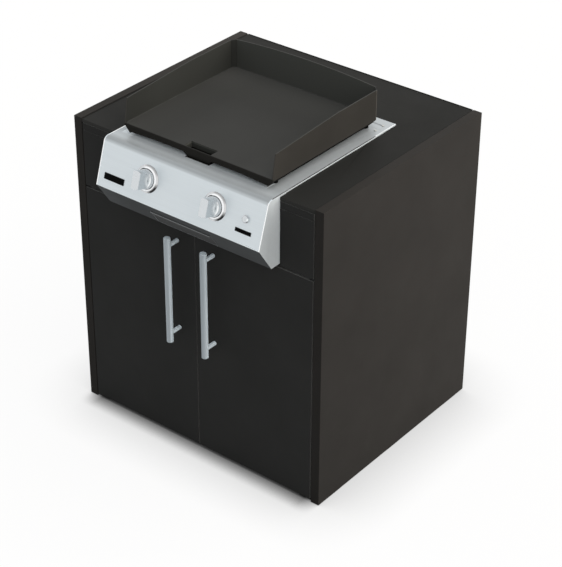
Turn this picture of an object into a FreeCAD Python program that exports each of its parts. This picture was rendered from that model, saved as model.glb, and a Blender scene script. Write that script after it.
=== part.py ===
import FreeCAD, Part
import math
import os

# Outdoor gas griddle station: a sheet-metal cabinet with two doors under a drop-in griddle head.
# Frame: origin on the floor under the middle of the cabinet, +X right, +Y back, +Z up, millimetres.

V = FreeCAD.Vector
SIDES = (("left", -1), ("right", 1))

# Cabinet
CABINET_W = 832.0       # over the two side panels
CABINET_D = 692.0       # front faces to back face
CABINET_H = 900.0       # floor to the top of the side panels
SHEET = 1.5             # folded steel sheet
SIDE_T = 26.5           # thickness of a side panel
REVEAL = 3.0            # gap beside, under and between the doors
SEAM = 1.5              # gap between fixed fronts
FRONT_T = 25.0          # depth of the fixed fronts
TUBE = 25.0             # square tube of the inner frame
TUBE_WALL = 1.5
RAIL_H = 40.0           # height of the rails under the countertop
GLIDE_T = 2.0
GLIDE_L = 60.0
GLIDE_INSET = 40.0      # from the cabinet's front and back to each end glide
CENTRE_FOOT_R = 20.0    # round foot under the middle of the floor panel
FLOOR_TOP = 40.0        # top of the cabinet's floor panel
FLOOR_DEPTH = 32.0      # height of the floor panel's folded edges

# Countertop and fixed fronts
COUNTER_DROP = 2.0      # top of the countertop below the side panels' tops
COUNTER_EDGE = 10.0     # height of its folded edge
COUNTER_HEM = 2.0       # upturned rear edge above the countertop
STRIP_H = 19.5          # narrow strip under its front edge
DOOR_TOP_GAP = 8.0      # from a door's top to the filler above it

# Doors, with pivots near their outer edges
DOOR_LIFT = 11.0        # bottom edge above the floor
DOOR_T = 22.0
HEAD_CLEAR = 12.0       # door tops below the control panel's underside
PIVOT_IN = 8.0          # pivot axis from the door's outer edge
PIVOT_BACK = 6.2        # pivot axis behind the door's front face
PIN_R = 3.0
PIN_FIT = 0.05          # radial clearance of a pin or stem in its bore
PIN_L = 12.0            # length of a pin inside its door
BUSH_R = 4.5
BUSH_FLANGE_R = 7.0
BUSH_PAST = 1.0         # a bush's sleeve beyond its pin's end
LEAF_T = 3.0            # thickness of a pivot plate
LEAF_W = 40.0
LEAF_RECESS = 3.0       # a pivot plate's front edge behind the fronts
REST_GAP = 0.3          # between pieces that rest on each other and move apart

# Handles
HANDLE_IN = 60.0        # bar axis from the doors' meeting edge
HANDLE_TOP = 21.0       # bar's top end below the door's top
HANDLE_L = 323.0
HANDLE_R = 9.5
HANDLE_OUT = 40.0       # bar axis in front of the door
HANDLE_EDGE = 1.2       # chamfer of the bar's ends
POST_R = 6.0
POST_PITCH = 272.0
SCREW_R = 2.5
SCREW_IN_POST = 12.0
SCREW_HEAD_R = 4.5
SCREW_HEAD_H = 2.0

# Catches and stops on the cross rail
CATCH_IN = 55.0         # magnet centre from the doors' meeting edge
CATCH_W = 40.0
CATCH_H = 15.0
STOP_R = 5.0
STOP_IN = 60.0          # stop centre from the post

# Openings in the back panel
HOSE_HOLE_R = 30.0
HOSE_HOLE_X = 250.0
HOSE_HOLE_Z = 140.0
GROMMET_R = 22.0        # clear bore of the grommet
GROMMET_LIP = 5.0
VENT_L = 120.0
VENT_H = 6.0
VENT_PITCH = 18.0
VENT_COUNT = 5
VENT_X = 220.0          # centre of each group of vents from the middle
VENT_TOP = 160.0        # top vent below the side panels' tops

# Griddle head
HEAD_X = 6.0            # its middle, right of the cabinet's middle
SHELL_T = 1.5
FRAME_SIDE = 27.5       # frame beyond the cooking plate on each side
FRAME_H = 4.0           # frame's top above the countertop
NOSE_OUT = 80.0         # foremost edge in front of the cabinet
NOSE_DROP = 125.0       # foremost edge below the frame's top
CHIN_OUT = 32.0
CHIN_DROP = 196.0       # underside below the frame's top
TILT = 17.85            # control face from the vertical, degrees
BROW_R = 16.5           # bend between the control face and the frame
SEAM_Y = 436.0          # seam of the frame's rear strip behind the cabinet's front
FRAME_D = 490.0         # frame's rear edge behind the cabinet's front
FRAME_GAP = 0.4
FRAME_SCREW_PAIR = 34.0
FRAME_SCREW_AHEAD = 10.5
FRAME_SCREW_R = 2.0
FRAME_SCREW_HEAD_R = 3.8
FRAME_SCREW_HEAD_H = 1.8
FRAME_SCREW_L = 14.0

# Cooking plate
PLATE_W = 492.0
PLATE_D = 442.0
PLATE_AHEAD = 8.0       # its front edge behind the cabinet's front
PLATE_T = 5.0
PLATE_RISE = 29.0       # cooking surface above the frame
WALL_T = 3.0
WALL_H = 81.0           # side walls above the cooking surface
ARCH_H = 12.0           # rise of the walls' top line over the middle
WALL_LEAN = 12.0        # setback of the side walls' front ends at their tops
WALL_FALL = 14.0        # drop of the side walls' top line towards the front
FALL_L = 260.0          # length of that drop
CORNER_CUT = 12.5       # rear corners, seen from above
LIP_H = 16.5            # folded front edge
LIP_END_H = 21.0        # the same at its two ends
LIP_END_L = 90.0        # stretch over which it deepens towards each end
FOLD_R = 3.0            # outside bend of that fold
LIP_T = 3.0
SKIRT_T = 3.0
SKIRT_IN = 16.5         # how far the skirt slopes inwards
SKIRT_H = 18.5
FOOT_R = 8.0
FOOT_IN = 24.0          # foot axis from the plate's side
FOOT_FRONT = 38.0       # front feet from the plate's front edge
FOOT_BACK = 26.0        # rear feet from the plate's rear edge
SLOT_W = 87.0
SLOT_D = 29.0
CHUTE_T = 2.0
CHUTE_IN = 10.0         # sideways taper of the chute on each side
CHUTE_IN_Y = 4.0
CHUTE_END = 17.0        # chute's lower end below the frame's top
CHUTE_HOLE = 5.0        # hole in the frame round the chute

# Burner box and burners
HEAT_W = 428.0          # opening in the frame under the plate
HEAT_AHEAD = 60.0       # its front edge behind the cabinet's front
HEAT_D = 356.0
BOX_H = 120.0
BOX_T = 1.5
BOX_LIP = 12.0
BOX_VENT_W = 60.0
BOX_VENT_D = 12.0
BOX_VENT_COUNT = 5
COUNTER_CLEAR = 6.0     # countertop cut-out round the burner box's lip
BURNER_R = 13.0
BURNER_WALL = 1.2
BURNER_UP = 45.0        # burner axis above the burner box's bottom
LOOP_W = 110.0
LOOP_FRONT = 26.0       # loop axis from the burner box's front
LOOP_BACK = 26.0
LOOP_BEND = 30.0
MOUTH_R = 17.0
MOUTH_L = 16.0
MOUTH_AHEAD = 34.0      # burner mouth in front of the burner box
PORT_R = 1.5
PORT_PITCH = 20.0
SUPPORT_BACK = 60.0     # support bar from the burner box's rear
SUPPORT_W = 20.0
SUPPORT_T = 2.0
TOUCH = 0.1             # between a round tube and what it rests on

# Controls on the sloped face: X from the head's middle, height up the face from its lower edge
CONTROL_UP = 67.0
KNOB_X = {"left": -110.0, "right": 115.0}
BUTTON_X = 216.0
BEZEL_R = 36.5
BEZEL_IN_R = 28.5
BEZEL_H = 7.0
BEZEL_FLOOR = 1.5
COLLAR_R = 8.0
COLLAR_T = 2.0
COLLAR_CLEAR = 1.5
KNOB_R = 26.5
KNOB_UNDER = 6.5        # knob's underside above the face
KNOB_DISC = 6.0
GRIP_W = 27.0
GRIP_W_TOP = 24.0
GRIP_OUT = 47.0         # grip's front above the face
GRIP_EDGE = 1.5
STEM_R = 3.95
STEM_FLAT = 1.0
STEM_IN_KNOB = 14.0
STEM_IN_VALVE = 28.0
PUSH = 3.0              # travel of a knob when it is pushed
VALVE_R = 13.0
VALVE_L = 38.0
BONNET_R = 9.0
BONNET_L = 7.0
VALVE_TAP = 38.0        # gas inlet of a valve, behind the face
TAP_R = 6.0
NOZZLE_R = 4.0
NOZZLE_GAP = 8.0        # valve nozzle's tip in front of the burner's inner end of the mouth
PANEL_HOLE_R = 5.0
BUTTON_R = 9.0
BUTTON_OUT = 6.0
BUTTON_L = 12.0
BUTTON_FIT = 0.3
BUTTON_TRAVEL = 4.0
BUTTON_EDGE = 1.2
IGNITER_RING_R = 11.5
IGNITER_RING_H = 2.5
IGNITER_R = 10.0
IGNITER_L = 34.0
NUT_AF = 26.0
NUT_H = 4.0
ELECTRODE_R = 3.0
ELECTRODE_L = 46.0
ELECTRODE_X = 28.0      # beside each burner's axis
ELECTRODE_UP = 26.0
SPARK_R = 0.8
SPARK_L = 14.0
BADGES = {
    # name: X from the head's middle, height up the face, width, height, thickness
    "left": (-217.0, 32.5, 68.0, 17.0, 1.5),
    "right": (214.0, 33.5, 50.0, 10.0, 1.2),
}

# Gas supply
MANIFOLD_R = 9.0
MANIFOLD_WALL = 1.5
MANIFOLD_BELOW = 24.0   # manifold axis below the valves' inlets
MANIFOLD_PAST = 22.0    # closed end beyond the left valve
MANIFOLD_BEND = 20.0
MANIFOLD_BACK = 100.0   # its rear end behind the cabinet's front
INLET_HEX = 26.0
INLET_HEX_L = 12.0
INLET_R = 10.4          # outside of the half inch gas thread
INLET_BORE_R = 6.0
INLET_L = 16.0

# Grease duct and drawer
DUCT_CLEAR = 6.0        # duct round the chute
DUCT_T = 1.2
DUCT_ABOVE = 5.0        # duct's lower end above the drawer's rim
DRAWER_FRONT_W = 200.0
DRAWER_GAP = 1.0        # round the drawer's front
DRAWER_TOP = 31.0       # its upper edge, down the lower face from the foremost edge
DRAWER_W = 191.0
DRAWER_H = 30.0
DRAWER_T = 1.2
DRAWER_BACK = 156.0     # its rear behind the cabinet's front
DRAWER_LIP_OUT = 3.0
DRAWER_LIP_H = 2.0
RUNNER_GAP = 0.5
RUNNER_LIP = 8.0

# Places that follow from the sizes above
x_inner = CABINET_W / 2 - SIDE_T
x_front = x_inner - REVEAL
y_front = -CABINET_D / 2
y_back = CABINET_D / 2
y_frame = y_front + FRONT_T
y_frame_back = y_frame + TUBE
y_liner = y_back - SHEET
z_counter = CABINET_H - COUNTER_DROP
z_rim = z_counter - COUNTER_EDGE
z_strip = z_rim - SEAM
z_filler = z_strip - STRIP_H - SEAM
z_head = z_counter + FRAME_H
z_chin = z_head - CHIN_DROP
z_nose = z_head - NOSE_DROP
y_chin = y_front - CHIN_OUT
y_nose = y_front - NOSE_OUT
z_door = z_chin - HEAD_CLEAR
z_cross = z_chin + SHELL_T
head_left = HEAD_X - PLATE_W / 2 - FRAME_SIDE
head_right = HEAD_X + PLATE_W / 2 + FRAME_SIDE
y_seam = y_front + SEAM_Y
z_plate = z_head + PLATE_RISE
y_plate = y_front + PLATE_AHEAD
y_heat = y_front + HEAT_AHEAD
z_box = z_head - SHELL_T - BOX_H
z_burner = z_box + BURNER_UP
y_mouth = y_heat - MOUTH_AHEAD
cut_half = HEAT_W / 2 + BOX_T + BOX_LIP + COUNTER_CLEAR


def box(x0, x1, y0, y1, z0, z1):
    """A block between two corners."""
    return Part.makeBox(x1 - x0, y1 - y0, z1 - z0, V(x0, y0, z0))


def pan(x0, x1, y0, y1, z0, z1, wall, open_to):
    """Folded sheet: a block hollowed to its wall, open towards +X, -X, +Y, -Y, +Z or -Z."""
    low = [x0 + wall, y0 + wall, z0 + wall]
    high = [x1 - wall, y1 - wall, z1 - wall]
    axis = "XYZ".index(open_to[1])
    if open_to[0] == "+":
        high[axis] += 2 * wall
    else:
        low[axis] -= 2 * wall
    hollow = box(low[0], high[0], low[1], high[1], low[2], high[2])
    return box(x0, x1, y0, y1, z0, z1).cut(hollow)


def tube(x0, x1, y0, y1, z0, z1, along):
    """Square tube with open ends along X, Y or Z."""
    low = [x0 + TUBE_WALL, y0 + TUBE_WALL, z0 + TUBE_WALL]
    high = [x1 - TUBE_WALL, y1 - TUBE_WALL, z1 - TUBE_WALL]
    axis = "XYZ".index(along)
    low[axis] -= 2 * TUBE_WALL
    high[axis] += 2 * TUBE_WALL
    bore = box(low[0], high[0], low[1], high[1], low[2], high[2])
    return box(x0, x1, y0, y1, z0, z1).cut(bore)


def rod(radius, length, start, direction):
    """A round bar from a point along a direction."""
    return Part.makeCylinder(radius, length, start, direction)


def ring(outer, inner, length, start, direction):
    """A round tube from a point along a direction."""
    bore = rod(inner, length, start, direction)
    return rod(outer, length, start, direction).cut(bore)


def prism_x(points, x0, x1):
    """A solid with a Y-Z outline, drawn along X."""
    corners = [V(x0, y, z) for y, z in points]
    face = Part.Face(Part.makePolygon(corners + corners[:1]))
    return face.extrude(V(x1 - x0, 0, 0))


def prism_y(points, y0, y1):
    """A solid with an X-Z outline about the head's middle, drawn along Y."""
    corners = [V(HEAD_X + x, y0, z) for x, z in points]
    face = Part.Face(Part.makePolygon(corners + corners[:1]))
    return face.extrude(V(0, y1 - y0, 0))


def prism_z(points, z0, z1):
    """A solid with an X-Y outline, drawn along Z."""
    corners = [V(x, y, z0) for x, y in points]
    face = Part.Face(Part.makePolygon(corners + corners[:1]))
    return face.extrude(V(0, 0, z1 - z0))


def frustum(lower, z0, upper, z1):
    """A solid between two X-Y outlines with as many corners each."""
    wires = []
    for points, z in ((lower, z0), (upper, z1)):
        corners = [V(x, y, z) for x, y in points]
        wires.append(Part.makePolygon(corners + corners[:1]))
    return Part.makeLoft(wires, True, True)


def hexagon(across, height, start, direction):
    """A hexagonal prism from a point along a direction."""
    radius = across / math.sqrt(3)
    corners = []
    for step in range(7):
        angle = math.radians(60 * step)
        corners.append(V(radius * math.cos(angle), radius * math.sin(angle), 0))
    solid = Part.Face(Part.makePolygon(corners)).extrude(V(0, 0, height))
    turn = FreeCAD.Rotation(V(0, 0, 1), direction)
    solid.Placement = FreeCAD.Placement(start, turn)
    return solid


def fused(pieces):
    """One solid from pieces that touch or overlap."""
    return pieces[0].multiFuse(pieces[1:]).removeSplitter()


def without(solid, holes):
    """The solid less a list of holes."""
    return solid.cut(Part.makeCompound(holes))


def save(name, pieces):
    """Write one node, which holds one solid or a group of separate solids."""
    shape = pieces if isinstance(pieces, Part.Shape) else Part.makeCompound(pieces)
    shape.exportStep("parts/" + name + ".step")
    print(name, "solids", len(shape.Solids), "valid", shape.isValid())


def mirrored(x0, x1, side):
    """The same stretch of X on the left (-1) or right (1) side, in rising order."""
    return tuple(sorted((side * x0, side * x1)))


# Control face: a place on it is X, the height up the face and the height off the face
face_turn = FreeCAD.Rotation(V(1, 0, 0), 90 - TILT)
face_up = face_turn.multVec(V(0, 1, 0))
face_out = face_turn.multVec(V(0, 0, 1))


def on_face(x, up, out=0.0):
    """A point on or off the control face."""
    return V(HEAD_X + x, y_nose, z_nose) + face_up * up + face_out * out


def face_rod(radius, x, up, out0, out1):
    """A round bar square to the control face, between two heights off it."""
    return rod(radius, out1 - out0, on_face(x, up, out0), face_out)


def face_block(x, up, width, height, out0, out1):
    """A block square to the control face, about a centre."""
    block = Part.makeBox(width, height, out1 - out0, V(-width / 2, -height / 2, 0))
    block.Placement = FreeCAD.Placement(on_face(x, up, out0), face_turn)
    return block


def chin_y(z):
    """Y of the head's lower face at a height."""
    return y_chin - (z - z_chin) * (y_chin - y_nose) / (z_nose - z_chin)


def head_outline(inset):
    """Y-Z corners of the head in front of the inner frame, moved inwards by the sheet."""
    brow_y = y_nose + NOSE_DROP * math.tan(math.radians(TILT))
    corners = [(y_frame, z_chin), (y_frame, z_head), (brow_y, z_head), (y_nose, z_nose), (y_chin, z_chin)]
    if inset == 0:
        return corners
    moved = []
    count = len(corners)
    for index in range(count):
        before, here, after = corners[index - 1], corners[index], corners[(index + 1) % count]
        a = V(here[0] - before[0], here[1] - before[1], 0).normalize()
        b = V(after[0] - here[0], after[1] - here[1], 0).normalize()
        normal_a = V(-a.y, a.x, 0)
        normal_b = V(-b.y, b.x, 0)
        shift = (normal_a + normal_b) * (inset / (1 + normal_a.dot(normal_b)))
        moved.append((here[0] + shift.x, here[1] + shift.y))
    return moved


def head_solid(inset, x0, x1):
    """The head's outer or inner form, with its rounded brow."""
    corners = head_outline(inset)
    if inset:
        corners[0] = (y_frame + SHELL_T, corners[0][1])
        corners[1] = (y_frame + SHELL_T, corners[1][1])
    solid = prism_x(corners, x0, x1)
    brow = V(0, corners[2][0], corners[2][1])
    for edge in solid.Edges:
        middle = edge.CenterOfMass
        on_brow = abs(middle.y - brow.y) < 0.01 and abs(middle.z - brow.z) < 0.01
        if on_brow:
            return solid.makeFillet(BROW_R - inset, [edge])
    return solid


# Cabinet carcass

def side_panels():
    """Folded side panels, each closed by an inner sheet, and the plastic glides that bear the cabinet."""
    glides = []
    for name, side in SIDES:
        x0, x1 = mirrored(x_inner, CABINET_W / 2, side)
        towards = "-X" if side > 0 else "+X"
        save("side_panel_" + name, pan(x0, x1, y_front, y_back, GLIDE_T, CABINET_H, SHEET, towards))
        x0, x1 = mirrored(x_inner, x_inner + SHEET, side)
        save("side_liner_" + name, box(x0, x1, y_front + SHEET, y_back - SHEET,
                                       GLIDE_T + SHEET, CABINET_H - SHEET))
        x0, x1 = mirrored(x_inner + SHEET, CABINET_W / 2 - SHEET, side)
        last = y_back - GLIDE_INSET - GLIDE_L
        for y in (y_front + GLIDE_INSET, -GLIDE_L / 2, last):
            glides.append(box(x0, x1, y, y + GLIDE_L, 0, GLIDE_T))
    glides.append(rod(CENTRE_FOOT_R, FLOOR_TOP - SHEET, V(0, 0, 0), V(0, 0, 1)))
    save("glides", glides)


def floor_panel():
    """Folded floor between the side panels."""
    save("floor_panel", pan(-x_inner, x_inner, y_frame, y_liner,
                            FLOOR_TOP - FLOOR_DEPTH, FLOOR_TOP, SHEET, "-Z"))


def back_panel():
    """Flat back sheet with vents, and a rubber grommet in the hole for the gas hose."""
    z_low = FLOOR_TOP - FLOOR_DEPTH
    panel = box(-x_inner, x_inner, y_liner, y_back, z_low, z_rim)
    hose = V(HOSE_HOLE_X, y_liner, HOSE_HOLE_Z)
    holes = [rod(HOSE_HOLE_R, SHEET, hose, V(0, 1, 0))]
    for side in (-1, 1):
        for row in range(VENT_COUNT):
            z = CABINET_H - VENT_TOP - row * VENT_PITCH
            x = side * VENT_X
            holes.append(box(x - VENT_L / 2, x + VENT_L / 2, y_liner, y_back, z, z + VENT_H))
    save("back_panel", without(panel, holes))

    # the grommet's middle fills the hole and its two lips lie on the sheet
    middle = ring(HOSE_HOLE_R, GROMMET_R, SHEET, hose, V(0, 1, 0))
    inner_lip = ring(HOSE_HOLE_R + GROMMET_LIP, GROMMET_R, SHEET, hose - V(0, SHEET, 0), V(0, 1, 0))
    outer_lip = ring(HOSE_HOLE_R + GROMMET_LIP, GROMMET_R, SHEET, hose + V(0, SHEET, 0), V(0, 1, 0))
    save("hose_grommet", fused([middle, inner_lip, outer_lip]))


def inner_frame():
    """Posts and cross rail behind the doors, and the rails that carry the countertop."""
    for name, side in SIDES:
        x0, x1 = mirrored(x_inner - TUBE, x_inner, side)
        save("front_post_" + name, tube(x0, x1, y_frame, y_frame_back, FLOOR_TOP, z_rim, "Z"))
        save("top_rail_" + name, tube(x0, x1, y_frame_back, y_liner - TUBE,
                                      z_rim - RAIL_H, z_rim, "Y"))
    save("top_rail_back", tube(-x_inner, x_inner, y_liner - TUBE, y_liner,
                               z_rim - RAIL_H, z_rim, "X"))
    save("cross_rail", tube(-x_inner + TUBE, x_inner - TUBE, y_frame, y_frame_back,
                            z_cross - TUBE, z_cross, "X"))


def fixed_fronts():
    """Fillers beside the head and the narrow strips over them."""
    for name, side in SIDES:
        head_edge = head_right + SEAM if side > 0 else -head_left + SEAM
        x0, x1 = mirrored(head_edge, x_front, side)
        save("filler_" + name, pan(x0, x1, y_front, y_frame, z_door + DOOR_TOP_GAP, z_filler,
                                   SHEET, "+Y"))
        save("rail_strip_" + name, pan(x0, x1, y_front, y_frame, z_strip - STRIP_H, z_strip,
                                       SHEET, "+Y"))


def screw_places():
    """X and Y of the four frame screws, midway between the countertop's cut-out and the frame's sides."""
    places = []
    for x in ((head_left + HEAD_X - cut_half) / 2, (head_right + HEAD_X + cut_half) / 2):
        y = y_seam - FRAME_SCREW_AHEAD
        places.append((x, y))
        places.append((x, y + FRAME_SCREW_PAIR))
    return places


def countertop():
    """Folded top with a low upturned rear edge and a cut-out that is open to the front under the head."""
    sheet = pan(-x_front, x_front, y_front, y_back, z_rim, z_counter, SHEET, "-Z")
    hem = box(-x_front, x_front, y_back - SHEET, y_back, z_counter, z_counter + COUNTER_HEM)
    top = fused([sheet, hem])
    cut_back = y_heat + HEAT_D + BOX_T + BOX_LIP + COUNTER_CLEAR
    holes = [
        box(HEAD_X - cut_half, HEAD_X + cut_half, y_front, cut_back, z_rim, z_counter),
        box(head_left - SEAM, head_right + SEAM, y_front, y_frame + SEAM, z_rim, z_counter),
    ]
    for x, y in screw_places():
        holes.append(rod(FRAME_SCREW_R, COUNTER_EDGE, V(x, y, z_rim), V(0, 0, 1)))
    save("countertop", without(top, holes))


# Doors

def pivot(side):
    """X and Y of a door's pivot axis."""
    return side * (x_front - PIVOT_IN), y_front + PIVOT_BACK


def pivots():
    """Pivot plates with pins, under and over each door."""
    z_low = DOOR_LIFT - REVEAL
    z_high = z_door + REVEAL
    for name, side in SIDES:
        x, y = pivot(side)
        x0, x1 = mirrored(x_inner - LEAF_W, x_inner, side)
        lower_leaf = box(x0, x1, y_front + LEAF_RECESS, y_frame_back, z_low - LEAF_T, z_low)
        upper_leaf = box(x0, x1, y_front + LEAF_RECESS, y_frame, z_high, z_high + LEAF_T)
        lower_pin = rod(PIN_R, LEAF_T + REVEAL + PIN_L, V(x, y, z_low - LEAF_T), V(0, 0, 1))
        upper_pin = rod(PIN_R, LEAF_T + REVEAL + PIN_L, V(x, y, z_high + LEAF_T), V(0, 0, -1))
        save("pivots_" + name, [fused([lower_leaf, lower_pin]), fused([upper_leaf, upper_pin])])


def doors():
    """Door pans with inner sheets, nylon bushes on the pivots, handles and their screws."""
    z_bar = z_door - HANDLE_TOP - HANDLE_L
    z_posts = [z_bar + HANDLE_L / 2 + half * POST_PITCH / 2 for half in (-1, 1)]
    y_inside = y_front + DOOR_T
    bush_l = PIN_L + BUSH_PAST
    flange_t = REVEAL - REST_GAP
    for name, side in SIDES:
        x_meet = side * REVEAL / 2
        x_outer = side * x_front
        px, py = pivot(side)
        hx = side * (REVEAL / 2 + HANDLE_IN)
        x0, x1 = sorted((x_meet, x_outer))
        skin = pan(x0, x1, y_front, y_inside, DOOR_LIFT, z_door, SHEET, "+Y")
        liner = box(x0 + SHEET, x1 - SHEET, y_inside - SHEET, y_inside,
                    DOOR_LIFT + SHEET, z_door - SHEET)
        bush_places = ((DOOR_LIFT, V(0, 0, 1)), (z_door, V(0, 0, -1)))
        bushes = []
        skin_holes = []
        for z, inwards in bush_places:
            sleeve = ring(BUSH_R, PIN_R + PIN_FIT, bush_l, V(px, py, z), inwards)
            flange = ring(BUSH_FLANGE_R, PIN_R + PIN_FIT, flange_t, V(px, py, z), inwards * -1)
            bushes.append(fused([sleeve, flange]))
            skin_holes.append(rod(BUSH_R, SHEET, V(px, py, z), inwards))
        screws = []
        posts = []
        bores = []
        for z in z_posts:
            head_at = V(hx, y_inside, z)
            shank_l = DOOR_T + SCREW_IN_POST
            shank = rod(SCREW_R, shank_l, head_at, V(0, -1, 0))
            screws.append(fused([shank, rod(SCREW_HEAD_R, SCREW_HEAD_H, head_at, V(0, 1, 0))]))
            posts.append(rod(POST_R, HANDLE_OUT, V(hx, y_front, z), V(0, -1, 0)))
            bores.append(shank)
        bar = rod(HANDLE_R, HANDLE_L, V(hx, y_front - HANDLE_OUT, z_bar), V(0, 0, 1))
        bar = bar.makeChamfer(HANDLE_EDGE, [edge for edge in bar.Edges if edge.Length > HANDLE_L / 100
                                    and len(edge.Vertexes) == 1])
        save("door_skin_" + name, without(skin, skin_holes + bores))
        save("door_liner_" + name, without(liner, bores))
        save("bushes_" + name, bushes)
        save("handle_" + name, without(fused([bar] + posts), bores))
        save("handle_screws_" + name, screws)


def door_catches():
    """Magnetic catches under the cross rail and rubber stops on its front face."""
    pieces = []
    y_touch = y_front + DOOR_T + REST_GAP
    z_rail = z_cross - TUBE
    z_stop = (z_rail + z_door) / 2
    for side in (-1, 1):
        x = side * CATCH_IN
        pieces.append(box(x - CATCH_W / 2, x + CATCH_W / 2, y_touch, y_frame_back,
                          z_rail - CATCH_H, z_rail))
        x = side * (x_inner - TUBE - STOP_IN)
        pieces.append(rod(STOP_R, y_frame - y_touch, V(x, y_touch, z_stop), V(0, 1, 0)))
    save("door_catches", pieces)


# Griddle head: shell, frame and burner box

def plate_corners(x_half, y0, y1, cut):
    """X-Y corners of the plate, a wall or a skirt, with the rear corners cut off."""
    return [
        (HEAD_X - x_half, y0), (HEAD_X + x_half, y0), (HEAD_X + x_half, y1 - cut),
        (HEAD_X + x_half - cut, y1), (HEAD_X - x_half + cut, y1), (HEAD_X - x_half, y1 - cut),
    ]


def chute_rings():
    """Half width, front and rear Y and height of the chute's outside, from the top down."""
    front = y_plate
    back = y_plate + LIP_T + SLOT_D + CHUTE_T
    wide = SLOT_W / 2 + CHUTE_T
    z_under = z_plate - PLATE_T
    z_bend = z_plate - LIP_H
    return [
        (wide, front, back, z_under),
        (wide, front, back, z_bend),
        (wide - CHUTE_IN, front + CHUTE_IN_Y, back - CHUTE_IN_Y, z_head),
        (wide - CHUTE_IN, front + CHUTE_IN_Y, back - CHUTE_IN_Y, z_head - CHUTE_END),
    ]


def rectangle(x_half, y0, y1):
    """X-Y corners of a rectangle about the head's middle."""
    return [(HEAD_X - x_half, y0), (HEAD_X + x_half, y0), (HEAD_X + x_half, y1), (HEAD_X - x_half, y1)]


def head_shell():
    """Bent sheet: control face, lower face, cheeks and the frame round the cooking plate."""
    outer = head_solid(0, head_left, head_right)
    inner = head_solid(SHELL_T, head_left + SHELL_T, head_right - SHELL_T)
    front = outer.cut(inner)
    frame = pan(head_left, head_right, y_frame, y_seam, z_counter, z_head, SHELL_T, "-Z")
    open_front = box(head_left + SHELL_T, head_right - SHELL_T, y_frame, y_frame + SHELL_T,
                     z_counter, z_head - SHELL_T)
    seam_edge = box(head_left + SHELL_T, head_right - SHELL_T, y_seam - SHELL_T, y_seam,
                    z_counter, z_head - SHELL_T)
    shell = fused([front, without(frame, [open_front, seam_edge])])

    x_half, chute_front, chute_back, z = chute_rings()[3]
    holes = [
        box(HEAD_X - HEAT_W / 2, HEAD_X + HEAT_W / 2, y_heat, y_heat + HEAT_D, z_counter, z_head),
        box(HEAD_X - x_half - CHUTE_HOLE, HEAD_X + x_half + CHUTE_HOLE, chute_front - CHUTE_HOLE,
            chute_back + CHUTE_HOLE, z_counter, z_head),
    ]
    for x in KNOB_X.values():
        holes.append(face_rod(PANEL_HOLE_R, x, CONTROL_UP, -2 * SHELL_T, SHELL_T))
    holes.append(face_rod(IGNITER_R, BUTTON_X, CONTROL_UP, -2 * SHELL_T, SHELL_T))
    z_slot = drawer_top()
    half = DRAWER_FRONT_W / 2 + DRAWER_GAP
    holes.append(box(HEAD_X - half, HEAD_X + half, y_nose, y_chin + SHELL_T, z_chin + SHELL_T,
                     z_slot + DRAWER_GAP))
    for x, y in screw_places():
        holes.append(rod(FRAME_SCREW_R, FRAME_H, V(x, y, z_counter), V(0, 0, 1)))
    save("head_shell", without(shell, holes))


def frame_rear():
    """Separate rear strip of the frame, and the screws beside the seam."""
    strip = pan(head_left, head_right, y_seam + FRAME_GAP, y_front + FRAME_D, z_counter, z_head,
                SHELL_T, "-Z")
    open_edge = box(head_left + SHELL_T, head_right - SHELL_T, y_seam, y_seam + FRAME_GAP + SHELL_T,
                    z_counter, z_head - SHELL_T)
    shanks = []
    screws = []
    for x, y in screw_places():
        shank = rod(FRAME_SCREW_R, FRAME_SCREW_L, V(x, y, z_head - FRAME_SCREW_L), V(0, 0, 1))
        head = rod(FRAME_SCREW_HEAD_R, FRAME_SCREW_HEAD_H, V(x, y, z_head), V(0, 0, 1))
        rim = [edge for edge in head.Edges if edge.CenterOfMass.z > z_head + FRAME_SCREW_HEAD_H / 1.5]
        head = head.makeFillet(FRAME_SCREW_HEAD_H / 2, rim)
        shanks.append(shank)
        screws.append(fused([shank, head]))
    save("frame_rear", without(strip, [open_edge] + shanks))
    save("frame_screws", screws)


def firebox():
    """Burner box hung under the frame by its turned-out lip."""
    x_half = HEAT_W / 2 + BOX_T
    y0 = y_heat - BOX_T
    y1 = y_heat + HEAT_D + BOX_T
    z_top = z_head - SHELL_T
    walls = pan(HEAD_X - x_half, HEAD_X + x_half, y0, y1, z_box, z_top, BOX_T, "+Z")
    lip = box(HEAD_X - x_half - BOX_LIP, HEAD_X + x_half + BOX_LIP, y0 - BOX_LIP, y1 + BOX_LIP,
              z_top - BOX_T, z_top)
    opening = box(HEAD_X - HEAT_W / 2, HEAD_X + HEAT_W / 2, y_heat, y_heat + HEAT_D,
                  z_top - BOX_T, z_top)
    holes = []
    for x in KNOB_X.values():
        centre = V(HEAD_X + x, y_heat - BOX_T, z_burner)
        holes.append(rod(BURNER_R + TOUCH, BOX_T, centre, V(0, 1, 0)))
        holes.append(rod(ELECTRODE_R, BOX_T, centre + V(ELECTRODE_X, 0, ELECTRODE_UP), V(0, 1, 0)))
        for row in range(BOX_VENT_COUNT):
            y = y_heat + HEAT_D * (row + 1) / (BOX_VENT_COUNT + 1)
            holes.append(box(HEAD_X + x - BOX_VENT_W / 2, HEAD_X + x + BOX_VENT_W / 2,
                             y - BOX_VENT_D / 2, y + BOX_VENT_D / 2, z_box, z_box + BOX_T))
    save("firebox", without(fused([walls, lip.cut(opening)]), holes))


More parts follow.
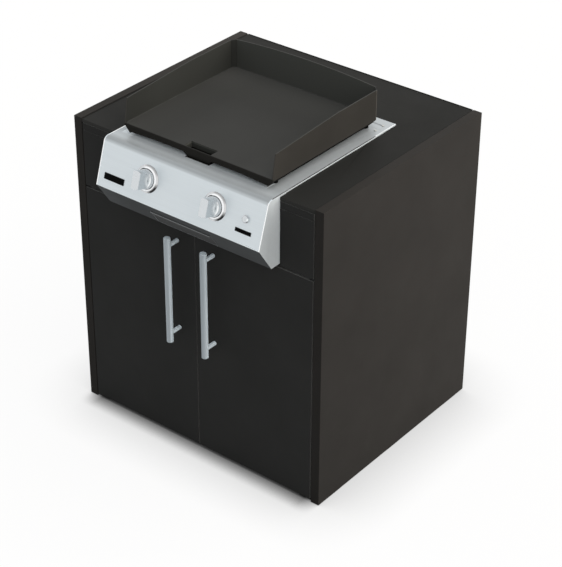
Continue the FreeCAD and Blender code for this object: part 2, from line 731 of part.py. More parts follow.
def loop(x, radius):
    """Closed loop of tube with four bends, level, about the burner's X."""
    y0 = y_heat + LOOP_FRONT
    y1 = y_heat + HEAT_D - LOOP_BACK
    x_half = LOOP_W / 2
    straight_y = y1 - y0 - 2 * LOOP_BEND
    straight_x = LOOP_W - 2 * LOOP_BEND
    pieces = []
    for side in (-1, 1):
        pieces.append(rod(radius, straight_y, V(x + side * x_half, y0 + LOOP_BEND, z_burner),
                          V(0, 1, 0)))
    for y in (y0, y1):
        pieces.append(rod(radius, straight_x, V(x - x_half + LOOP_BEND, y, z_burner), V(1, 0, 0)))
    bends = ((1, y1 - LOOP_BEND, 0), (-1, y1 - LOOP_BEND, 90),
             (-1, y0 + LOOP_BEND, 180), (1, y0 + LOOP_BEND, 270))
    for side, y, turn in bends:
        centre = V(x + side * (x_half - LOOP_BEND), y, z_burner)
        bend = Part.makeTorus(LOOP_BEND, radius, V(0, 0, 0), V(0, 0, 1), -180, 180, 90)
        bend.Placement = FreeCAD.Placement(centre, FreeCAD.Rotation(V(0, 0, 1), turn))
        pieces.append(bend)
    return pieces


def burners():
    """Loop burners with rows of ports, an inlet through the box's front and a flared mouth."""
    y0 = y_heat + LOOP_FRONT
    inner_r = BURNER_R - BURNER_WALL
    for name, side in SIDES:
        x = HEAD_X + KNOB_X[name]
        start = V(x, y_mouth + MOUTH_L, z_burner)
        stub_l = y0 - start.y
        mouth_at = V(x, y_mouth, z_burner)
        flare = Part.makeCone(MOUTH_R, BURNER_R, MOUTH_L, mouth_at, V(0, 1, 0))
        flare_bore = Part.makeCone(MOUTH_R - BURNER_WALL, inner_r, MOUTH_L, mouth_at, V(0, 1, 0))
        outside = fused(loop(x, BURNER_R) + [rod(BURNER_R, stub_l, start, V(0, 1, 0)), flare])
        inside = fused(loop(x, inner_r) + [rod(inner_r, stub_l, start, V(0, 1, 0)), flare_bore])
        ports = []
        run = HEAT_D - LOOP_FRONT - LOOP_BACK - 2 * LOOP_BEND
        count = int(run // PORT_PITCH)
        first = y0 + LOOP_BEND + (run - (count - 1) * PORT_PITCH) / 2
        for leg in (-1, 1):
            for step in range(count):
                centre = V(x + leg * LOOP_W / 2, first + step * PORT_PITCH, z_burner)
                ports.append(rod(PORT_R, BURNER_R + 1, centre, V(0, 0, 1)))
        save("burner_" + name, without(outside, [inside] + ports))

    # an angle bar across the burner box carries the rear of both loops
    y1 = y_heat + HEAT_D - SUPPORT_BACK
    z_bar = z_burner - BURNER_R - TOUCH
    flat = box(HEAD_X - HEAT_W / 2, HEAD_X + HEAT_W / 2, y1, y1 + SUPPORT_W, z_bar - SUPPORT_T, z_bar)
    web = box(HEAD_X - HEAT_W / 2, HEAD_X + HEAT_W / 2, y1, y1 + SUPPORT_T, z_bar - SUPPORT_W, z_bar)
    save("burner_support", fused([flat, web]))


# Cooking plate

def griddle_plate():
    """Cooking plate with three walls under an arched top line, grease slot, chute, skirt and feet."""
    half = PLATE_W / 2
    y0 = y_plate
    y1 = y_plate + PLATE_D
    z_skirt = z_plate - PLATE_T
    z_foot = z_skirt - SKIRT_H
    z_wall = z_plate + WALL_H

    # walls: an upright band, open at the front, under the arch
    band = prism_z(plate_corners(half, y0, y1, CORNER_CUT), z_skirt, z_wall + ARCH_H)
    room = prism_z(plate_corners(half - WALL_T, y0 - WALL_T, y1 - WALL_T, CORNER_CUT - WALL_T / 2),
                   z_plate, z_wall + ARCH_H)
    left_end = V(HEAD_X - half, y0, z_wall)
    right_end = V(HEAD_X + half, y0, z_wall)
    crown = V(HEAD_X, y0, z_wall + ARCH_H)
    low_left = V(HEAD_X - half, y0, z_skirt)
    low_right = V(HEAD_X + half, y0, z_skirt)
    arch = Part.Wire([
        Part.Arc(left_end, crown, right_end).toShape(),
        Part.LineSegment(right_end, low_right).toShape(),
        Part.LineSegment(low_right, low_left).toShape(),
        Part.LineSegment(low_left, left_end).toShape(),
    ])
    under_arch = Part.Face(arch).extrude(V(0, PLATE_D, 0))
    fall = prism_x([(y0, z_plate), (y0, z_wall + ARCH_H), (y0 + FALL_L, z_wall + ARCH_H),
                    (y0 + FALL_L, z_wall), (y0 + WALL_LEAN, z_wall - WALL_FALL)],
                   HEAD_X - half, HEAD_X + half)
    body = band.cut(room).common(under_arch).cut(fall)

    # skirt under the walls, sloping inwards on three sides, and the folded front edge
    skirt_out = frustum(plate_corners(half - SKIRT_IN, y0, y1 - SKIRT_IN, CORNER_CUT), z_foot,
                        plate_corners(half, y0, y1, CORNER_CUT), z_skirt)
    skirt_in = frustum(plate_corners(half - SKIRT_IN - SKIRT_T, y0 - SKIRT_T,
                                     y1 - SKIRT_IN - SKIRT_T, CORNER_CUT), z_foot,
                       plate_corners(half - SKIRT_T, y0 - SKIRT_T, y1 - SKIRT_T, CORNER_CUT), z_skirt)
    z_lip = z_plate - LIP_H
    z_end = z_plate - LIP_END_H
    end_half = half - SKIRT_IN * (z_skirt - z_end) / SKIRT_H
    lip = prism_y([(-half, z_skirt), (half, z_skirt), (end_half, z_end),
                   (end_half - LIP_END_L, z_lip), (LIP_END_L - end_half, z_lip), (-end_half, z_end)],
                  y0, y0 + LIP_T)
    inside = half - WALL_T
    fold = box(HEAD_X - inside, HEAD_X + inside, y0, y0 + FOLD_R, z_plate - FOLD_R, z_plate)
    bend = rod(FOLD_R, 2 * inside, V(HEAD_X - inside, y0 + FOLD_R, z_plate - FOLD_R), V(1, 0, 0))

    # feet on the frame
    feet = []
    for side in (-1, 1):
        for y in (y0 + FOOT_FRONT, y1 - FOOT_BACK):
            at = V(HEAD_X + side * (half - FOOT_IN), y, z_head + REST_GAP)
            feet.append(rod(FOOT_R, z_foot + SKIRT_T - z_head - REST_GAP, at, V(0, 0, 1)))

    # chute under the slot
    chute = []
    bore = []
    rings = chute_rings()
    for above, below in zip(rings, rings[1:]):
        chute.append(frustum(rectangle(*below[:3]), below[3], rectangle(*above[:3]), above[3]))
        inner_below = (below[0] - CHUTE_T, below[1] + LIP_T, below[2] - CHUTE_T)
        inner_above = (above[0] - CHUTE_T, above[1] + LIP_T, above[2] - CHUTE_T)
        bore.append(frustum(rectangle(*inner_below), below[3], rectangle(*inner_above), above[3]))
    slot = box(HEAD_X - SLOT_W / 2, HEAD_X + SLOT_W / 2, y0 + LIP_T, y0 + LIP_T + SLOT_D,
               z_skirt, z_plate)
    solid = fused([body, skirt_out.cut(skirt_in), lip] + chute + feet)
    save("griddle_plate", without(solid, bore + [slot, fold.cut(bend)]))


# Controls

def knobs():
    """Knobs on flatted stems, their bezels, and the collars that carry the push spring."""
    for name, side in SIDES:
        x = KNOB_X[name]
        rim = face_rod(BEZEL_R, x, CONTROL_UP, 0, BEZEL_H)
        top = [edge for edge in rim.Edges if len(edge.Vertexes) == 1
               and (edge.CenterOfMass - on_face(x, CONTROL_UP, BEZEL_H)).Length < 0.1]
        rim = rim.makeFillet(BEZEL_H * 0.7, top)
        well = face_rod(BEZEL_IN_R, x, CONTROL_UP, BEZEL_FLOOR, BEZEL_H)
        hole = face_rod(COLLAR_R + COLLAR_CLEAR, x, CONTROL_UP, 0, BEZEL_FLOOR)
        save("bezel_" + name, without(rim, [well, hole]))

        # the stem has a flat, and the knob's bore is cut to it
        stem_top = KNOB_UNDER + STEM_IN_KNOB
        stem = face_rod(STEM_R, x, CONTROL_UP, -STEM_IN_VALVE, stem_top)
        flat = face_block(x, CONTROL_UP + STEM_R - STEM_FLAT / 2, 2 * STEM_R, STEM_FLAT,
                          KNOB_UNDER, stem_top)
        stem = stem.cut(flat)
        save("stem_" + name, stem)

        collar_top = KNOB_UNDER - REST_GAP
        collar = face_rod(COLLAR_R, x, CONTROL_UP, collar_top - COLLAR_T, collar_top)
        bore = face_rod(STEM_R + PIN_FIT, x, CONTROL_UP, collar_top - COLLAR_T, collar_top)
        save("collar_" + name, collar.cut(bore))

        disc = face_rod(KNOB_R, x, CONTROL_UP, KNOB_UNDER, KNOB_UNDER + KNOB_DISC)
        grip = grip_bar(x)
        save("knob_" + name, fused([disc, grip]).cut(stem))


def grip_bar(x):
    """Flat-sided grip across a knob, a little narrower at its front."""
    length = 2 * KNOB_R
    out0 = KNOB_UNDER + KNOB_DISC / 2
    lower = [V(-GRIP_W / 2, -length / 2, 0), V(GRIP_W / 2, -length / 2, 0)]
    upper = [V(GRIP_W_TOP / 2, -length / 2, GRIP_OUT - out0), V(-GRIP_W_TOP / 2, -length / 2, GRIP_OUT - out0)]
    corners = lower + upper
    bar = Part.Face(Part.makePolygon(corners + corners[:1])).extrude(V(0, length, 0))
    round_end = Part.makeCylinder(KNOB_R - GRIP_EDGE, GRIP_OUT - out0)
    bar = bar.common(round_end)
    front = [edge for edge in bar.Edges if edge.BoundBox.ZMin > GRIP_OUT - out0 - 0.01]
    bar = bar.makeFillet(GRIP_EDGE, front)
    bar.Placement = FreeCAD.Placement(on_face(x, CONTROL_UP, out0), face_turn)
    return bar


def manifold_axis():
    """Y and Z of the manifold under the valves' inlets, and X of its rearward run beside the burner box."""
    tap = on_face(0, CONTROL_UP, -VALVE_TAP)
    box_side = HEAD_X + HEAT_W / 2 + BOX_T
    return tap.y, tap.z - MANIFOLD_BELOW, (box_side + head_right - SHELL_T) / 2


def manifold_solid(radius):
    """The manifold's run under the valves, its bend and its rearward run."""
    y, z, x1 = manifold_axis()
    x0 = HEAD_X + KNOB_X["left"] - MANIFOLD_PAST
    y1 = y_front + MANIFOLD_BACK
    across = rod(radius, x1 - MANIFOLD_BEND - x0, V(x0, y, z), V(1, 0, 0))
    back = rod(radius, y1 - y - MANIFOLD_BEND, V(x1, y + MANIFOLD_BEND, z), V(0, 1, 0))
    bend = Part.makeTorus(MANIFOLD_BEND, radius, V(0, 0, 0), V(0, 0, 1), -180, 180, 90)
    turn = FreeCAD.Rotation(V(0, 0, 1), 270)
    bend.Placement = FreeCAD.Placement(V(x1 - MANIFOLD_BEND, y + MANIFOLD_BEND, z), turn)
    return fused([across, bend, back])


def gas_supply():
    """Valves behind the control face, the manifold under them and the threaded gas inlet."""
    y_pipe, z_pipe, x1 = manifold_axis()
    pipe = manifold_solid(MANIFOLD_R)
    taps = []
    for name, side in SIDES:
        x = KNOB_X[name]
        body = face_rod(VALVE_R, x, CONTROL_UP, -SHELL_T - BONNET_L - VALVE_L, -SHELL_T - BONNET_L)
        bonnet = face_rod(BONNET_R, x, CONTROL_UP, -SHELL_T - BONNET_L, -SHELL_T)
        tap_at = on_face(x, CONTROL_UP, -VALVE_TAP)
        tap = rod(TAP_R, MANIFOLD_BELOW, tap_at, V(0, 0, -1))
        tip_y = y_mouth + MOUTH_L - NOZZLE_GAP
        nozzle = rod(NOZZLE_R, tip_y - tap_at.y, V(tap_at.x, tap_at.y, z_burner), V(0, 1, 0))
        bore = face_rod(STEM_R + PIN_FIT, x, CONTROL_UP, -STEM_IN_VALVE - PUSH - 1, -SHELL_T)
        save("valve_" + name, without(fused([body, bonnet, tap, nozzle]), [pipe, bore]))
        taps.append(rod(TAP_R / 2, MANIFOLD_BELOW, tap_at, V(0, 0, -1)))

    y1 = y_front + MANIFOLD_BACK
    hollow = manifold_solid(MANIFOLD_R - MANIFOLD_WALL)
    end_cap = rod(MANIFOLD_R, MANIFOLD_WALL, V(HEAD_X + KNOB_X["left"] - MANIFOLD_PAST, y_pipe, z_pipe),
                  V(1, 0, 0))
    walls = without(pipe, [hollow] + taps)
    save("manifold", fused([walls, end_cap]))

    nut = hexagon(INLET_HEX, INLET_HEX_L, V(x1, y1, z_pipe), V(0, 1, 0))
    thread = rod(INLET_R, INLET_L, V(x1, y1 + INLET_HEX_L, z_pipe), V(0, 1, 0))
    bore = rod(INLET_BORE_R, INLET_HEX_L + INLET_L, V(x1, y1, z_pipe), V(0, 1, 0))
    save("gas_inlet", fused([nut, thread]).cut(bore))


def igniter():
    """Igniter barrel with its ring and nut, the push button in it, and the two electrodes."""
    x = BUTTON_X
    ring_piece = face_rod(IGNITER_RING_R, x, CONTROL_UP, 0, IGNITER_RING_H)
    barrel = face_rod(IGNITER_R, x, CONTROL_UP, -IGNITER_L, 0)
    nut = hexagon(NUT_AF, NUT_H, on_face(x, CONTROL_UP, -SHELL_T), face_out * -1)
    depth = BUTTON_L - BUTTON_OUT + BUTTON_TRAVEL + 1
    well = face_rod(BUTTON_R + BUTTON_FIT, x, CONTROL_UP, -depth, IGNITER_RING_H)
    save("igniter_body", fused([ring_piece, barrel, nut]).cut(well))

    button = face_rod(BUTTON_R, x, CONTROL_UP, BUTTON_OUT - BUTTON_L, BUTTON_OUT)
    top = [edge for edge in button.Edges if len(edge.Vertexes) == 1
           and (edge.CenterOfMass - on_face(x, CONTROL_UP, BUTTON_OUT)).Length < 0.1]
    save("igniter_button", button.makeFillet(BUTTON_EDGE, top))

    pieces = []
    for name, side in SIDES:
        at = V(HEAD_X + KNOB_X[name] + ELECTRODE_X, y_heat - BOX_T, z_burner + ELECTRODE_UP)
        start = at - V(0, ELECTRODE_L / 3, 0)
        rod_piece = rod(ELECTRODE_R, ELECTRODE_L, start, V(0, 1, 0))
        seat = rod(2 * ELECTRODE_R, BOX_T, at - V(0, BOX_T, 0), V(0, 1, 0))
        spark = rod(SPARK_R, SPARK_L, start + V(0, ELECTRODE_L, 0), V(0, 1, 0))
        pieces.append(fused([rod_piece, seat, spark]))
    save("electrodes", pieces)


def badges():
    """Two blank plates on the control face."""
    for name, (x, up, width, height, thick) in BADGES.items():
        plate = face_block(x, up, width, height, 0, thick)
        save("badge_" + name, plate)


# Grease duct and drawer

def drawer_top():
    """Height of the drawer front's upper edge."""
    lower_face = math.hypot(y_chin - y_nose, z_nose - z_chin)
    return z_nose - DRAWER_TOP * (z_nose - z_chin) / lower_face - DRAWER_GAP


def grease_parts():
    """Duct from the chute to the drawer, the drawer's runner, and the drawer."""
    z_bed = z_cross + SHELL_T
    z_drawer = z_bed + REST_GAP
    z_brim = z_drawer + DRAWER_H
    x_half, chute_front, chute_back, z = chute_rings()[3]
    duct_half = x_half + DUCT_CLEAR
    y0 = chute_front - DUCT_CLEAR
    y1 = chute_back + DUCT_CLEAR
    outer = box(HEAD_X - duct_half, HEAD_X + duct_half, y0, y1, z_brim + DUCT_ABOVE, z_head - SHELL_T)
    inner = box(HEAD_X - duct_half + DUCT_T, HEAD_X + duct_half - DUCT_T, y0 + DUCT_T, y1 - DUCT_T,
                z_brim + DUCT_ABOVE, z_head - SHELL_T)
    save("grease_duct", outer.cut(inner))

    # runner: a channel on the shell's floor and the cross rail, with lips over the drawer's brim
    half = DRAWER_W / 2 + RUNNER_GAP
    y_start = y_chin + 2 * SHELL_T
    y_end = y_front + DRAWER_BACK + 4 * SHELL_T
    z_lip = z_brim + RUNNER_GAP
    bed = box(HEAD_X - half - SHELL_T, HEAD_X + half + SHELL_T, y_start, y_end, z_cross, z_bed)
    pieces = [bed]
    for side in (-1, 1):
        x0, x1 = sorted((side * half, side * (half + SHELL_T)))
        pieces.append(box(HEAD_X + x0, HEAD_X + x1, y_start, y_end, z_bed, z_lip + SHELL_T))
        x0, x1 = sorted((side * (half - RUNNER_LIP), side * half))
        pieces.append(box(HEAD_X + x0, HEAD_X + x1, y_start, y_end, z_lip, z_lip + SHELL_T))
    pieces.append(box(HEAD_X - half, HEAD_X + half, y_end - SHELL_T, y_end, z_bed, z_brim))
    save("drawer_runner", fused(pieces))

    # drawer: a tray whose front lies in the head's lower face, with a finger lip
    z_edge = drawer_top()
    z_low = z_cross + REST_GAP
    w = DRAWER_W / 2
    f = DRAWER_FRONT_W / 2
    y_rear = y_front + DRAWER_BACK
    t = DRAWER_T
    tray = prism_x([(chin_y(z_drawer), z_drawer), (y_rear, z_drawer), (y_rear, z_brim),
                    (chin_y(z_brim), z_brim)], HEAD_X - w, HEAD_X + w)
    room = prism_x([(chin_y(z_drawer + t) + 2 * t, z_drawer + t), (y_rear - t, z_drawer + t),
                    (y_rear - t, z_brim), (chin_y(z_brim) + 2 * t, z_brim)],
                   HEAD_X - w + t, HEAD_X + w - t)
    front = prism_x([(chin_y(z_low), z_low), (chin_y(z_low) + 2 * t, z_low),
                     (chin_y(z_edge) + 2 * t, z_edge), (chin_y(z_edge), z_edge)],
                    HEAD_X - f, HEAD_X + f)
    y_lip = chin_y(z_edge)
    lip = box(HEAD_X - f, HEAD_X + f, y_lip - DRAWER_LIP_OUT, y_lip + t, z_edge - DRAWER_LIP_H, z_edge)
    save("grease_drawer", fused([tray.cut(room), front, lip]))


os.makedirs("parts", exist_ok=True)
side_panels()
floor_panel()
back_panel()
inner_frame()
fixed_fronts()
countertop()
pivots()
doors()
door_catches()
head_shell()
frame_rear()
firebox()
burners()
griddle_plate()
knobs()
gas_supply()
igniter()
badges()
grease_parts()
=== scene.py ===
import math
import bpy
import bmesh
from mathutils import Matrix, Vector


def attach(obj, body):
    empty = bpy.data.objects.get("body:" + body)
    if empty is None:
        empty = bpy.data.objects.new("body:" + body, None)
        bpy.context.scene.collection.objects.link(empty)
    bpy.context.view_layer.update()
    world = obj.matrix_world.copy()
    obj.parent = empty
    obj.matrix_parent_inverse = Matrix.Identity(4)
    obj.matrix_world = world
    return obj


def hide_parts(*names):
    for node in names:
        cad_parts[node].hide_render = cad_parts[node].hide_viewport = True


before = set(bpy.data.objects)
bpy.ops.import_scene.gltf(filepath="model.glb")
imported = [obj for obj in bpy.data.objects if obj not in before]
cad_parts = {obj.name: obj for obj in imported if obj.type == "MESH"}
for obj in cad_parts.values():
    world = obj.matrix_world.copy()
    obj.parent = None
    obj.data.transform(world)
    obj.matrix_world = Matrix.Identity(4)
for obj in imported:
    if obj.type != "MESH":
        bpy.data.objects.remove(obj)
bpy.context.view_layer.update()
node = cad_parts
scene = bpy.context.scene
scene.view_settings.view_transform = "Standard"


# Camera: stands in front and to the right of the station, above the worktop, with a
# long lens. The place, turn and lens give the view of a 562 x 567 picture.
CAMERA_PLACE = (2.68598, -3.38262, 3.08113)
CAMERA_TURN = (57.8717, -0.2582, 38.4934)
CAMERA_LENS = 115.406
CAMERA_SENSOR = 36.0
CAMERA_REACH = 60.0

lens = bpy.data.cameras.new("camera")
lens.sensor_width = CAMERA_SENSOR
lens.lens = CAMERA_LENS
lens.clip_end = CAMERA_REACH
camera = bpy.data.objects.new("camera", lens)
camera.location = CAMERA_PLACE
camera.rotation_euler = [math.radians(angle) for angle in CAMERA_TURN]
scene.collection.objects.link(camera)
scene.camera = camera


# Studio: a pale floor under a large soft dome that is brightest to the right and above.
# The floor shows white to the camera and to polished metal. Its glow carries painted shadows,
# worked out from what stands near: a wide soft one, and a short deep one painted only in
# front of the doors, which hang a little above it.
WHITE = (1, 1, 1, 1)
FLOOR_HALF = 14.0
FLOOR_PALE = (0.97, 0.97, 0.97, 1)
FLOOR_DULL = (0.50, 0.50, 0.50, 1)
FLOOR_GLOW = 0.91
SHADOW_SAMPLES = 16
SHADOW_REACH = 0.205
SHADOW_TONE = (0.45, 0.45, 0.45, 1)
SHADOW_LEAN = (-0.06, 0.0, 1.0)
CONTACT_REACH = 0.055
CONTACT_DEPTH = 2.45
CONTACT_FRONT = (-0.300, -0.315)
CONTACT_LEFT = (-0.430, -0.375)
CONTACT_RIGHT = (0.418, 0.365)
DOME_COOL = (0.54, 0.56, 0.58)
DOME_WARM = (1.85, 1.70, 1.54)
DOME_AIM = (0.80, 0.30, 0.50)
DOME_FALL = 2.0
MIX_SOCKETS = {"RGBA": (6, 7, 2), "VECTOR": (4, 5, 1), "FLOAT": (2, 3, 0)}


def add(tree, kind, inputs=None, **settings):
    """A shader node with its settings, and its inputs set or linked by name or number."""
    made = tree.nodes.new(kind)
    for key, value in settings.items():
        setattr(made, key, value)
    for key, value in (inputs or {}).items():
        if isinstance(value, bpy.types.NodeSocket):
            tree.links.new(value, made.inputs[key])
        else:
            made.inputs[key].default_value = value
    return made


def calc(tree, operation, *values):
    """A number worked out from one to three others."""
    return add(tree, "ShaderNodeMath", dict(enumerate(values)), operation=operation).outputs[0]


def product(tree, first, *others):
    """Masks multiplied with each other."""
    for mask in others:
        first = calc(tree, "MULTIPLY", first, mask)
    return first


def vector_calc(tree, operation, *values, output="Vector"):
    """A vector worked out from others, or a number with Value as the output."""
    made = add(tree, "ShaderNodeVectorMath", dict(enumerate(values)), operation=operation)
    return made.outputs[output]


def tinted(tree, colour, factor):
    """A colour made lighter or darker by a factor."""
    made = add(tree, "ShaderNodeVectorMath", {0: colour, "Scale": factor}, operation="SCALE")
    return made.outputs[0]


def blend(tree, kind, factor, first, second):
    """Runs from a first colour, vector or number to a second as the factor goes from 0 to 1."""
    low, high, out = MIX_SOCKETS[kind]
    mix = add(tree, "ShaderNodeMix", {"Factor": factor, low: first, high: second}, data_type=kind)
    return mix.outputs[out]


def ramp(tree, value, none, full):
    """0 up to one value, 1 from the other on, and even between them."""
    made = add(tree, "ShaderNodeMapRange", {"Value": value, "From Min": none, "From Max": full})
    return made.outputs[0]


def coord(tree, kind):
    """The place or the normal of the surface in the object's own space."""
    return add(tree, "ShaderNodeTexCoord").outputs[kind]


def parts(tree, vector):
    """A vector's X, Y and Z."""
    return add(tree, "ShaderNodeSeparateXYZ", {0: vector}).outputs


def seen_white(tree):
    """1 for what the camera, polished metal or glass sees directly, 0 for soft light."""
    path = add(tree, "ShaderNodeLightPath").outputs
    either = calc(tree, "MAXIMUM", path["Is Camera Ray"], path["Is Glossy Ray"])
    return calc(tree, "MAXIMUM", either, path["Is Transmission Ray"])


def clear_round(tree, reach, **inputs):
    """1 where nothing stands within reach of the floor, and less the more does."""
    return add(tree, "ShaderNodeAmbientOcclusion", {"Distance": reach, **inputs},
               samples=SHADOW_SAMPLES).outputs["AO"]


world = bpy.data.worlds.new("studio")
scene.world = world
world.use_nodes = True
sky = world.node_tree
sky.nodes.clear()
to_warm_side = vector_calc(sky, "DOT_PRODUCT", coord(sky, "Generated"),
                           Vector(DOME_AIM).normalized(), output="Value")
fall = calc(sky, "POWER", calc(sky, "MAXIMUM", to_warm_side, 0.0), DOME_FALL)
light = vector_calc(sky, "ADD", tinted(sky, DOME_WARM, fall), DOME_COOL)
dome = add(sky, "ShaderNodeBackground", {"Color": light, "Strength": 1.0})
white = add(sky, "ShaderNodeBackground", {"Color": WHITE, "Strength": 1.0})
dome_or_white = add(sky, "ShaderNodeMixShader",
                    {0: seen_white(sky), 1: dome.outputs[0], 2: white.outputs[0]})
add(sky, "ShaderNodeOutputWorld", {"Surface": dome_or_white.outputs[0]})

floor_mesh = bpy.data.meshes.new("floor")
floor_mesh.from_pydata([(x * FLOOR_HALF, y * FLOOR_HALF, 0.0)
                        for x, y in ((-1, -1), (1, -1), (1, 1), (-1, 1))], [], [(0, 1, 2, 3)])
floor = bpy.data.objects.new("floor", floor_mesh)
scene.collection.objects.link(floor)
floor_paint = bpy.data.materials.new("floor paint")
floor_paint.use_nodes = True
ground = floor_paint.node_tree
ground.nodes.clear()
direct = seen_white(ground)
matt = add(ground, "ShaderNodeBsdfDiffuse",
           {"Color": blend(ground, "RGBA", direct, FLOOR_DULL, FLOOR_PALE)})
# Painted shadows: the glow is darkened where things stand near, and more in front of the doors.
lean = vector_calc(ground, "NORMALIZE", SHADOW_LEAN)
wide = blend(ground, "RGBA", clear_round(ground, SHADOW_REACH, Normal=lean), SHADOW_TONE, WHITE)
deep = tinted(ground, wide,
              calc(ground, "POWER", clear_round(ground, CONTACT_REACH), CONTACT_DEPTH))
spot = parts(ground, coord(ground, "Object"))
painted_shadow_by_doors = product(ground, ramp(ground, spot["Y"], *CONTACT_FRONT),
                   ramp(ground, spot["X"], *CONTACT_LEFT), ramp(ground, spot["X"], *CONTACT_RIGHT))
glow = add(ground, "ShaderNodeEmission",
           {"Color": blend(ground, "RGBA", painted_shadow_by_doors, wide, deep), "Strength": 1.0})
share = calc(ground, "MULTIPLY", direct, FLOOR_GLOW)
matt_or_glow = add(ground, "ShaderNodeMixShader",
                   {0: share, 1: matt.outputs[0], 2: glow.outputs[0]})
add(ground, "ShaderNodeOutputMaterial", {"Surface": matt_or_glow.outputs[0]})
floor_mesh.materials.append(floor_paint)


# Cabinet panels: folded steel sheet with a charcoal powder coat. The coat has a fine
# orange-peel grain and faint changes of tone, and each fold is a small soft radius.
COAT_COLOUR = (0.0268, 0.0270, 0.0255, 1)
COAT_DRIFT = dict(scale=5.0, detail=4.0, rough=0.6)
COAT_FLECK = dict(scale=2600.0, detail=1.0)
COAT_SMEAR = dict(scale=14.0, detail=5.0, rough=0.65)
FLECK_SHARE = 0.6
SMEAR_SHARE = 0.04
COAT_LOOK = dict(grain=700.0, tone=0.08, rough=0.50, depth=0.00002)
COAT_SHINE = {"Specular IOR Level": 0.03}
PAINTED_LIGHT_MIDDLE = (0.0, 0.0, 0.45)
SIDEWAYS = (1, 0, 0)
FORWARD = (0, 1, 0)
UPWARD = (0, 0, 1)
FACE_TURN = (0.45, 0.9)
FOLD_RADIUS = 0.0009
FOLD_TURN = 35
JOINED_WITHIN = 0.00001
FLAT_WEIGHT = 100
# Each sheet's look, with painted light and shade: edge paints its folds and rims lighter, front
# paints its faces that look forward darker, and fade paints a gradient of light across it.
SHEETS = (
    ("side", dict(colour=(0.0352, 0.0329, 0.0303, 1), sheet=SIDEWAYS, front=0.68,
                  fade=(-0.15, 0.30, 0.22)),
     ["side_panel_left", "side_panel_right", "side_liner_left", "side_liner_right"]),
    ("front", dict(colour=(0.0250, 0.0253, 0.0246, 1), sheet=FORWARD, edge=5.4),
     ["filler_left", "filler_right", "door_skin_left", "door_skin_right", "door_liner_left",
      "door_liner_right", "rail_strip_left", "rail_strip_right", "back_panel"]),
    ("top", dict(colour=COAT_COLOUR, sheet=UPWARD, edge=1.2, fade=(-0.20, 0.0, 0.0)),
     ["countertop", "floor_panel"]))


def group(name, inputs, outputs):
    """A shader node group with named sockets: its tree, the sockets that bring its inputs in,
    and the node that takes its outputs."""
    tree = bpy.data.node_groups.new(name, "ShaderNodeTree")
    kinds = {"float": "NodeSocketFloat", "colour": "NodeSocketColor", "vector": "NodeSocketVector"}
    for label, (kind, value) in inputs.items():
        socket = tree.interface.new_socket(label, in_out="INPUT", socket_type=kinds[kind])
        socket.default_value = value
    for label, kind in outputs.items():
        tree.interface.new_socket(label, in_out="OUTPUT", socket_type=kinds[kind])
    return tree, tree.nodes.new("NodeGroupInput").outputs, tree.nodes.new("NodeGroupOutput")


def give_out(tree, out, **values):
    """Leads what a group has worked out to its outputs."""
    for label, socket in values.items():
        tree.links.new(socket, out.inputs[label])


def from_group(tree, shared, **values):
    """The outputs of a group placed in a material with its own values."""
    made = add(tree, "ShaderNodeGroup", node_tree=shared)
    for key, value in values.items():
        made.inputs[key].default_value = value
    return made.outputs


def noise(tree, place, scale, detail=2.0, rough=0.5):
    """A soft random pattern from 0 to 1 at a place. A larger scale makes it finer."""
    made = add(tree, "ShaderNodeTexNoise", {"Vector": place, "Scale": scale, "Detail": detail,
                                            "Roughness": rough})
    return made.outputs["Fac"]


def spread(tree, value, low, high, start=0.3, end=0.7):
    """Stretches a value's middle range to run from low to high."""
    made = add(tree, "ShaderNodeMapRange", {"Value": value, "From Min": start, "From Max": end,
                                            "To Min": low, "To Max": high})
    return made.outputs[0]


def facing(tree, axis, turn):
    """1 where the surface faces along the given axis, either way, and 0 where it lies across."""
    along = vector_calc(tree, "DOT_PRODUCT", coord(tree, "Normal"), axis, output="Value")
    return ramp(tree, calc(tree, "ABSOLUTE", along), *turn)


def finish(name, body, sockets=None):
    """A material whose Principled shader takes what body(tree) gives it: links for its sockets,
    and a Height with the Depth of its relief in metres."""
    made = bpy.data.materials.new(name)
    made.use_nodes = True
    tree = made.node_tree
    tree.nodes.clear()
    shader = tree.nodes.new("ShaderNodeBsdfPrincipled")
    add(tree, "ShaderNodeOutputMaterial", {"Surface": shader.outputs[0]})
    links = body(tree)
    bump = add(tree, "ShaderNodeBump", {"Height": links.pop("Height"), "Strength": 1.0,
                                        "Distance": links.pop("Depth")})
    links["Normal"] = bump.outputs[0]
    for key, socket in links.items():
        tree.links.new(socket, shader.inputs[key])
    for key, value in (sockets or {}).items():
        shader.inputs[key].default_value = value
    return made


def dress(names, material, radius=0.0, steps=2):
    """Gives CAD nodes their finish, and their sharp folds and edges a small radius."""
    for name in names:
        node[name].data.materials.clear()
        node[name].data.materials.append(material)
        if radius:
            weld = node[name].modifiers.new("joined edges", "WELD")
            weld.merge_threshold = JOINED_WITHIN
            bevel = node[name].modifiers.new("edge radius", "BEVEL")
            bevel.width = radius
            bevel.segments = steps
            bevel.limit_method = "ANGLE"
            bevel.angle_limit = math.radians(FOLD_TURN)
            level = node[name].modifiers.new("flat faces stay flat", "WEIGHTED_NORMAL")
            level.weight = FLAT_WEIGHT
            level.keep_sharp = True


